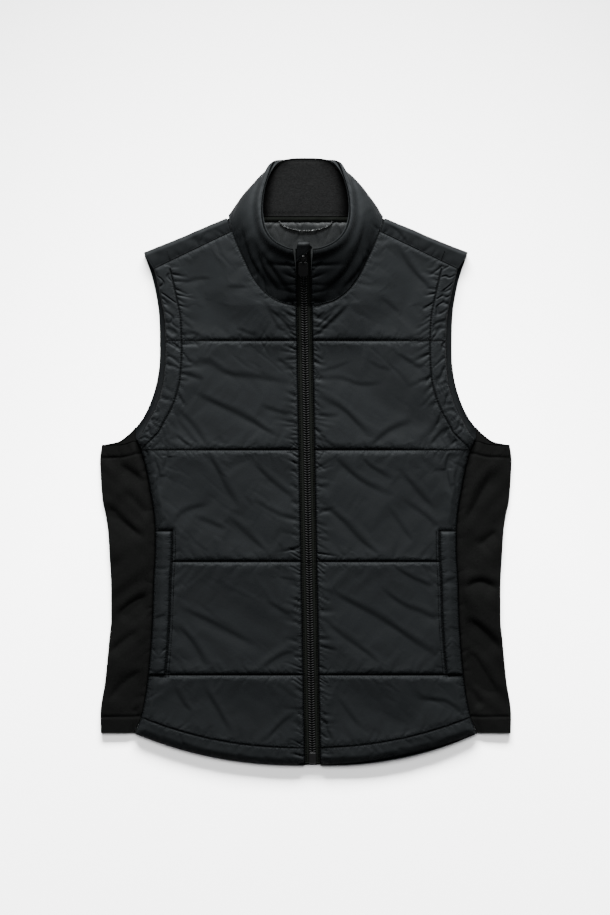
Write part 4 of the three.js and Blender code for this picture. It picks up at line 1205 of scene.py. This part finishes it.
def collar_sections():
    halves = {}
    for side in (-1, 1):
        seam, rim = [], []
        for index, (sx, sy, sz, rx, ry, rz, _) in enumerate(COLLAR):
            lean = float(neck_lean(index / 6))
            seam.append((side * sx + lean, sy, sz))
            rim.append((side * rx + (float(zip_x(ry)) if index == 0 else lean), ry, rz))
        halves[side] = (seam, rim)
    bow = [(row[6], 0, 0) for row in COLLAR]
    join = lambda left, right: left + right[::-1][1:]
    return join(halves[-1][0], halves[1][0]), join(halves[-1][1], halves[1][1]), join(bow, bow)


def collar_surface(u, v):
    """The collar's middle surface: u from the left zip edge round the back, v from the seam to the rim."""
    seams, rims, bows = collar_sections()
    seam, rim, bow = spline(seams, u), spline(rims, u), spline(bows, u)[..., 0]
    point = seam[None] + (rim - seam)[None] * v[:, None, None]
    level = np.ones(point.shape[:2])
    outward_way = np.stack([np.sign(point[..., 0]), 0.2 * level, 0.5 * level], axis=-1)
    outward_way /= np.linalg.norm(outward_way, axis=-1, keepdims=True)
    point += outward_way * (bow[None] * np.sin(math.pi * v)[:, None])[..., None]
    inside = normals(point)
    if inside[5, 5, 2] > 0:
        inside = -inside
    return point, inside


def collar():
    around, up = 320, 56
    u, v = np.linspace(0, 1, around + 1), np.linspace(0.02, 1, up + 1)
    middle, inside = collar_surface(u, v)
    run = np.abs(u - 0.5) * 2
    x, y = middle[..., 0], middle[..., 1]
    tall = np.linalg.norm(middle[-1] - middle[0], axis=-1)[None, :]
    from_seam, from_rim = v[:, None] * tall, (1 - v[:, None]) * tall
    length = lengths(middle[0])
    from_zip = np.minimum(length, length[-1] - length)[None, :] + 0 * v[:, None]
    place = length[None, :] + 0 * v[:, None]
    edge = np.minimum(np.minimum(from_seam, from_rim), from_zip)
    round_off = rounded((edge + 0.35) / 2.4)
    flat_part = smoothstep(run, 0.0, 0.35)[None, :]
    roll = 1.5 * np.exp(-((from_rim - 5) / 4.5) ** 2) - 0.7 * np.exp(-((from_rim - 14) / 6) ** 2)
    filled = 2.2 * (1 - np.exp(-from_seam / 6)) * np.exp(-from_rim / 60)
    puff = COLLAR_THICK / 2 * round_off + flat_part * (filled + roll)
    relief = 1.9 * creased(CREASES_COLLAR, x, y, 1.2)
    relief += gathers(y, from_zip, 8, 24, 2.0, 0.2, 91) * smoothstep(from_rim, 2, 8)
    relief += gathers(place, from_seam, 9, 16, 1.3, 0.1, 92) + gathers(place, from_rim, 9, 10, 0.5, 0.0, 93)
    soft = np.minimum(edge / 8, 1)
    relief -= soft * (0.7 * ripples(x, y, 70, 50, 12, 94) + 0.4 * ripples(x, y, 40, 22, 7, 95))
    outer = middle - inside * (puff - relief * flat_part)[..., None]
    pull = lerp(3.4, 1.8, smoothstep(v, 0.6, 1))[:, None] * np.exp(-((from_zip / 9) ** 2))
    outer[..., 0] -= np.sign(x) * pull
    inner = middle + inside * (COLLAR_THICK / 2 * round_off)[..., None]
    for face in (outer, inner):
        face[..., 2] = np.maximum(face[..., 2], 0)
    obj = mesh_object("collar_padded", [shell(outer, inner)], SHELL_CLOTH)
    lines = np.array([from_seam + 0 * place, from_zip, from_rim + 3 + 0 * place])
    run_along = np.array([place, y + 1000, place + 2000])
    # Painted shade: darker in the grooves beside the neckline seam and the zip edges, and the front of the
    # standing collar darkened by up to a quarter where it faces away from the light, less near the seam.
    front = smoothstep(run, 0.62, 0.86)[None, :] + 0 * place
    lit = 1 - seam_shade(np.minimum(from_seam, from_zip * 1.2), 0.8, 2.6)
    shade = 1 - lit * (1 - 0.25 * front * (1 - 0.6 * np.exp(-from_seam / 7)))
    keep(obj, along=both_faces(np.take_along_axis(run_along, lines.argmin(axis=0)[None], 0)[0]),
         off=both_faces(lines.min(axis=0)), shade=both_faces(shade))
    enter(obj, "collar")


FACING_LOW = 5.5


def collar_facing():
    around, up = 300, 48
    u, v = np.linspace(0.012, 0.988, around + 1), np.linspace(0.035, 0.975, up + 1)
    middle, inside = collar_surface(u, v)
    run = np.abs(u - 0.5)[None, :] * 2
    middle[..., 1] -= FACING_LOW * (1 - smoothstep(run, 0.24, 0.32)) * (1 - smoothstep(v, 0.03, 0.3))[:, None]
    x, y = middle[..., 0], middle[..., 1]
    tall = np.linalg.norm(middle[-1] - middle[0], axis=-1)[None, :]
    edge = np.minimum(v[:, None] - v[0], v[-1] - v[:, None]) * tall
    wave = 0.45 * ripples(x, y, 12, 40, 14, 96) + 0.2 * ripples(x, y, 60, 18, 7, 97)
    wave = wave * np.minimum(edge / 6, 1) + 0.5 * (1 - np.exp(-edge / 5))
    wave -= 0.5 * np.exp(-((edge - 3.2) / 1.0) ** 2)
    ribs = np.cumsum(np.linalg.norm(np.diff(middle[-1], axis=0, prepend=middle[-1][:1]), axis=-1))
    wave += 0.35 * np.sin(ribs * 2 * math.pi / 2.6)[None] * np.exp(-((v[-1] - v[:, None]) * tall / 4) ** 2)
    near = COLLAR_THICK / 2 + GAP / 2
    inner = middle + inside * (near + FACING_THICK + wave)[..., None]
    outer = middle + inside * near
    for face in (inner, outer):
        over_back = np.maximum(face[..., 2], back_top(x, y) + GAP)
        face[..., 2] = np.where((y < BACK_NECK_Y) & (run < 0.3), over_back, face[..., 2])
    obj = mesh_object("collar_fleece", [shell(inner, outer)], FLEECE_CLOTH)
    # Painted shade on the fleece: near the zip, and in a band beside the collar's overhanging rim, wider on
    # the right.
    overhang, _ = nearest([(row[3], row[4]) for row in COLLAR[4:10]], np.abs(x), y)
    painted_zip_shade = seam_shade((1 - run) * 260 + 0 * x, 0.7, 12)
    keep(obj, shade=both_faces(np.maximum(painted_zip_shade, 0.8 * np.exp(-((overhang / lerp(7.5, 10, x > 0)) ** 2)))))
    enter(obj, "collar_facing")


# Inside the neck

neck_half = through([(row[1], row[0]) for row in COLLAR[:7]])
LINING_ROWS = (203.0, 290.5)
TAPE = {"half": 76.0, "low": 291.0, "high": 297.0, "z": 7.3}


def back_lining():
    rows, columns = 68, 112
    y = np.linspace(*LINING_ROWS, rows + 1)[:, None]
    x = np.linspace(-1, 1, columns + 1)[None, :] * (neck_half(y) - 16)
    y = y + 0 * x
    base = back_top(x, y) + GAP
    top = base + 0.9 + 0.6 * ripples(x, y, 100, 30, 10, 45) + 0.3 * ripples(x, y, 60, 14, 6, 46)
    top -= 2.4 * creased(CREASES_LINING, x, y) + gathers(x + 90, LINING_ROWS[1] - y, 9, 22, 1.0, 0.0, 47)
    top = np.maximum(top, base + 0.1)
    face = np.stack([x, y, top], axis=-1)
    obj = mesh_object("back_lining_cloth", [shell(face, np.stack([x, y, base], axis=-1))], LINING_CLOTH)
    enter(obj, "back_lining")


def neck_tape():
    rows, columns = 8, 152
    y = np.linspace(TAPE["low"], TAPE["high"], rows + 1)[:, None]
    x = np.linspace(-TAPE["half"], TAPE["half"], columns + 1)[None, :] + 0 * y
    y = y + 0 * x
    roll = rounded((y - TAPE["low"]) / 3.5)
    crease = np.exp(-((y - TAPE["low"] - 4.6) / 0.9) ** 2)
    top = TAPE["z"] + 0.4 + 0.7 * roll - 0.5 * crease + 0.35 * ripples(x, y, 25, 16, 5, 48)
    face = np.stack([x, y, top], axis=-1)
    low = np.stack([x, y, np.full(x.shape, TAPE["z"])], axis=-1)
    obj = mesh_object("neck_tape_cloth", [shell(face, low)], TAPE_CLOTH)
    # Darkened overall, with painted shade along both rims that also dulls their shine.
    rim = np.minimum(y - TAPE["low"], TAPE["high"] - y)
    keep(obj, shade=both_faces(0.3 + 0.55 * (1 - smoothstep(rim, 0.2, 1.4))))
    enter(obj, "neck_tape")


LOOP_RADIUS = 1.1
LOOP_ROUTE = [(-32, 290.8, 7.9), (-29.5, 286.6, 9), (-18, 281.3, 9.5), (0, 278.8, 9.5),
              (18, 281.3, 9.5), (29.5, 286.6, 9), (32, 290.8, 7.9)]


def hanger_loop():
    """A thin braided cord: its surface is raised where two turning strands cross it."""
    path = spline(LOOP_ROUTE, np.linspace(0, 1, 181))
    run = lengths(path)
    way = np.gradient(path, axis=0)
    way /= np.linalg.norm(way, axis=1, keepdims=True)
    across = np.cross(way, (0, 0, 1))
    across /= np.linalg.norm(across, axis=1, keepdims=True)
    up = np.cross(across, way)
    sides = 16
    angle = 2 * math.pi * np.arange(sides) / sides
    twist = run[:, None] * 1.1
    strands = np.maximum(np.cos(2 * (angle[None] + twist)), np.cos(2 * (angle[None] - twist)))
    radius = LOOP_RADIUS * (0.93 + 0.07 * strands)
    ring = across[:, None] * np.cos(angle)[None, :, None] + up[:, None] * np.sin(angle)[None, :, None]
    points = (path[:, None] + ring * radius[..., None]).reshape(-1, 3)
    tube = outward(points, tube_faces(len(path), sides))
    obj = mesh_object("hanger_loop_cord", [tube], CORD_CLOTH)
    enter(obj, "hanger_loop")


# Zip

TAPE_THICK = 1.0
CHAIN = {"half": 3.9, "height": 1.9, "from": HEM_Y + 16, "to": 238.6}
ZIP_SLOPE = math.atan2(COLLAR[0][5] - COLLAR[0][2], ZIP_TOP[1] - NECK_Y)
SLIDER_Y = 245.0
# From where to where along the zip the painted shade under the collar fades in.
SHADE_UNDER_COLLAR = (160, 182)
TAPE_STITCHES = (7.3, 8.9)


def zip_tape(name, side):
    rows, columns = 512, 16
    y = np.linspace(HEM_Y + 3, ZIP_TOP[1], rows + 1)[:, None]
    across = np.linspace(GAP / 2, ZIP_HALF - GAP, columns + 1)[None, :]
    x = zip_x(y) + side * across
    y = y + 0 * x
    rib = 0.12 * np.exp(-((across - 5.2) / 0.5) ** 2) + 0.12 * np.exp(-((across - 8.2) / 0.5) ** 2)
    middle = zip_z(y)
    waver = 0.25 * ripples(x, y, 90, 26, 12, 34 + side) * smoothstep(across, 3, 8)
    face = np.stack([x, y, middle + TAPE_THICK / 2 + rib + waver], axis=-1)
    low = np.stack([x, y, middle - TAPE_THICK / 2], axis=-1)
    obj = mesh_object(name + "_woven", [shell(face, low)], TAPE_CLOTH)
    # Painted shade: the tape darker where it runs in under the collar, beside the coil and along its outer
    # edge.
    painted_hollow_shade = np.maximum(0.25 * smoothstep(y, *SHADE_UNDER_COLLAR), 0.2 * (1 - smoothstep(across, 3.6, 4.6)))
    keep(obj, shade=both_faces(np.maximum(painted_hollow_shade, 0.2 * smoothstep(across, 8.2, 9.2))))
    enter(obj, name)


def zip_chain():
    """Two rows of coil turns that meet in the middle."""
    pitch, turn_half, turn_height = 2.9, 1.0, CHAIN["height"]
    points, faces = [], []
    rings, sides = 7, 8
    count = int((CHAIN["to"] - CHAIN["from"]) / pitch)
    for k in range(count):
        y0 = CHAIN["from"] + (k + 0.5) * pitch
        for side in (-1, 1):
            base = len(points)
            for r in range(rings):
                t = r / (rings - 1)
                x = float(zip_x(y0)) + side * lerp(0.12, CHAIN["half"], t)
                y = y0 + 1.2 * (t - 0.5)
                fat = 0.45 + 0.55 * math.sin(math.pi * min(max(t, 0.04), 0.96)) ** 0.5
                z = float(zip_z(y)) + TAPE_THICK / 2 + 0.25 + turn_height * 0.46
                for s in range(sides):
                    a = 2 * math.pi * s / sides
                    points.append((x, y + turn_half * fat * math.cos(a),
                                   z + turn_height * 0.46 * fat * math.sin(a)))
            faces += [face if side < 0 else face[::-1] for face in tube_faces(rings, sides, base)]
    points = np.array(points)
    obj = mesh_object("zip_coil", [(points, faces)], COIL)
    # Painted shade on the coil where it runs in under the collar.
    keep(obj, shade=0.3 * smoothstep(points[:, 1], *SHADE_UNDER_COLLAR))
    enter(obj, "zip_chain")


def zip_head_point(points):
    """From the slider's own place to the vest's: tilted with the collar and set on the tape."""
    p = np.asarray(points, float)
    c, s = math.cos(ZIP_SLOPE), math.sin(ZIP_SLOPE)
    origin = (float(zip_x(SLIDER_Y)), SLIDER_Y, float(zip_z(SLIDER_Y)) + TAPE_THICK / 2 + GAP)
    turned = [p[..., 0], p[..., 1] * c - p[..., 2] * s, p[..., 1] * s + p[..., 2] * c]
    return np.stack(turned, axis=-1) + origin


GARAGE = {"left": -9.0, "right": 10.5, "top": 15.5, "crown": 4.2, "low_left": -5.0, "low_right": 12.0,
          "foot": 9.0, "folded_z": -5.0, "bulge": 4.0, "thick": 0.9}


def zip_garage():
    columns, rows = 40, 60
    u = np.linspace(0, 1, columns + 1)[None, :]
    v = np.linspace(0, 1, rows + 1)[:, None]
    x = lerp(GARAGE["left"], GARAGE["right"], u) * (1 - 0.3 * smoothstep(v, 0.2, 0.6))
    start = lerp(GARAGE["low_left"], GARAGE["low_right"], u)
    turn = np.clip((v - 0.45) / 0.35, 0, 1) * math.pi
    over = 0.9 * np.exp(-((x - 1) / 5) ** 2) * (1 - smoothstep(v, 0.45, 0.7))
    y = np.where(v < 0.45, lerp(start, GARAGE["top"], np.clip(v / 0.45, 0, 1)),
                 np.where(v < 0.8, GARAGE["top"] + GARAGE["bulge"] * np.sin(turn),
                          lerp(GARAGE["top"], GARAGE["foot"], np.clip((v - 0.8) / 0.2, 0, 1))))
    z = lerp(GARAGE["crown"], GARAGE["folded_z"], (1 - np.cos(turn)) / 2) + over
    grid = np.stack([x, y, z], axis=-1)
    n = normals(grid)
    if n[2, columns // 2, 2] < 0:
        n = -n
    hem = 0.25 * np.exp(-((np.abs(y - start) - 2.6) / 0.5) ** 2) * (v < 0.4)
    puff = 0.3 * ripples(x, y, 30, 14, 5, 49) * (v < 0.6)
    half = GARAGE["thick"] / 2
    outer, inner = grid + n * (half - hem + puff)[..., None], grid - n * half
    obj = mesh_object("zip_garage_cloth", [shell(zip_head_point(outer), zip_head_point(inner))], SHADED_GARAGE_CLOTH)
    # Painted shade along the garage's edges, and its right side painted darker.
    rims = np.minimum(np.minimum(u, 1 - u) * (GARAGE["right"] - GARAGE["left"]), np.abs(y - start))
    keep(obj, shade=both_faces(np.maximum(seam_shade(rims, 0.7, 1.6), 0.55 * smoothstep(x, 2, 8) + 0 * v)))
    enter(obj, "zip_garage")


def finish_nodes():
    """CAD nodes that keep their shape: rounded edges and their own material."""
    looks = {"zip_slider": SLIDER_PAINT, "zip_pull": PULL_RUBBER, "zip_box": SLIDER_PAINT}
    for name, material in looks.items():
        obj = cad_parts[name]
        obj.data.materials.clear()
        obj.data.materials.append(material)
        bevel = obj.modifiers.new("soft_edges", "BEVEL")
        bevel.width = 0.18 * MM
        bevel.segments = 2
        bevel.limit_method = "ANGLE"


# Topstitching

def laid_on(lines, height):
    """Lines of (x, y) points, resampled and lifted to height(x, y)."""
    found = []
    for line in lines:
        p = np.asarray(line, float)
        run = lengths(p)
        s = np.arange(0, run[-1], 1.5)
        x, y = np.interp(s, run, p[:, 0]), np.interp(s, run, p[:, 1])
        found.append(np.stack([x, y, height(x, y)], axis=-1))
    return found


def topstitching():
    paths, tape_paths = [], []
    for side in (-1, 1):
        lines = front_lines(side)
        ends = (POCKET_BOTTOM_Y - 3, POCKET_TOP_Y + 3, 20)
        pocket = [upright(lambda y, i=inset: side_seam(y) - i, *ends) * (side, 1)
                  for inset in (STITCH_IN + 1.5, STITCH_IN + 4.5)]
        wanted = [lines["arm_stitch"], lines["hem_stitch"]] + [lines[f"quilt_{n}"] for n in range(4)]
        paths += laid_on(wanted + pocket, lambda x, y: front_height(side, x, y, False) - 0.1)
        over_shoulder = [(side * 162.6, 241), (side * 168.5, 255.5)]
        paths += laid_on([over_shoulder], lambda x, y: 11.5 + (y - 241) * 0.075)
        zip_y = np.linspace(HEM_Y + 4, ZIP_TOP[1] - 4, 60)
        rows = [np.stack([zip_x(zip_y) + side * off, zip_y], axis=-1) for off in TAPE_STITCHES]
        tape_paths += laid_on(rows, lambda x, y: zip_z(y) + TAPE_THICK / 2 + 0.25)
    obj = mesh_object("topstitching", [threads(paths), threads(tape_paths, 2.8, 0.5, 0.45)], THREAD)
    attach(obj, VEST)


for side, name in ((-1, "left"), (1, "right")):
    front("front_" + name, side)
    welt("pocket_welt_" + name, side)
back()
for side, name in ((-1, "left"), (1, "right")):
    side_panel("side_" + name, side)
    zip_tape("zip_tape_" + name, side)
collar()
collar_facing()
back_lining()
neck_tape()
hanger_loop()
zip_chain()
zip_garage()
finish_nodes()
topstitching()


# Camera, light and floor

OVERHEAD_WATTS = 120
LOW_KEY_WATTS = 1750
WORLD_STRENGTH = 0.25
FLOOR_HALF = 8.0
VIEW_HEIGHT = 1110.4
VIEW_CENTRE = (-0.97, 4.85)
LENS = 100.0
SENSOR = 36.0


def look():
    camera = bpy.data.objects.new("camera", bpy.data.cameras.new("camera"))
    bpy.context.scene.collection.objects.link(camera)
    camera.data.lens = LENS
    camera.data.sensor_width = SENSOR
    camera.data.clip_end = 20
    camera.location = (VIEW_CENTRE[0] * MM, VIEW_CENTRE[1] * MM, LENS / SENSOR * VIEW_HEIGHT * MM)
    bpy.context.scene.camera = camera


def floor():
    mesh = bpy.data.meshes.new("floor")
    corners = [(x * FLOOR_HALF, y * FLOOR_HALF, 0) for x, y in ((-1, -1), (1, -1), (1, 1), (-1, 1))]
    mesh.from_pydata(corners, [], [(0, 1, 2, 3)])
    ground = bpy.data.objects.new("floor", mesh)
    bpy.context.scene.collection.objects.link(ground)
    paper = Finish("paper", (0.96, 0.96, 0.96), 0.9, specular=0.0)
    # Painted light on the paper: full brightness within 0.4 m of a point 0.35 m towards the hem side, falling
    # to a third of it 1 m away.
    reach = add_node(paper.tree, "ShaderNodeVectorMath", operation="LENGTH")
    middle = add_node(paper.tree, "ShaderNodeVectorMath", operation="ADD")
    middle.inputs[1].default_value = (0, 0.35, 0)
    paper.link(paper.place.outputs["Object"], middle.inputs[0])
    paper.link(middle.outputs["Vector"], reach.inputs[0])
    paper.vary(reach.outputs["Value"], 1.0, 0.33, 0.4, 1.0)
    ground.data.materials.append(paper.material)
    ground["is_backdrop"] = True


def area_light(name, place, target, size, power):
    light = bpy.data.lights.new(name, "AREA")
    light.shape = "RECTANGLE"
    light.size, light.size_y = size
    light.energy = power
    obj = bpy.data.objects.new(name, light)
    bpy.context.scene.collection.objects.link(obj)
    obj.location = place
    direction = np.array(target) - np.array(place)
    obj.rotation_euler = (math.atan2(math.hypot(direction[0], direction[1]), -direction[2]), 0,
                          math.atan2(-direction[0], direction[1]))


def light():
    area_light("overhead", (0, 0.9, 2.9), (0, 0.1, 0), (2.4, 1.4), OVERHEAD_WATTS)
    area_light("low_key", (0, 2.9, 1.5), (0, 0, 0), (2.6, 0.9), LOW_KEY_WATTS)
    world = bpy.data.worlds.new("studio")
    bpy.context.scene.world = world
    world.use_nodes = True
    world.node_tree.nodes["Background"].inputs["Color"].default_value = (0.97, 0.98, 1.0, 1)
    world.node_tree.nodes["Background"].inputs["Strength"].default_value = WORLD_STRENGTH


look()
floor()
light()

{"cad": [list(corner) for corner in cad_box], "visual": [list(corner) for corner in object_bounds()]}
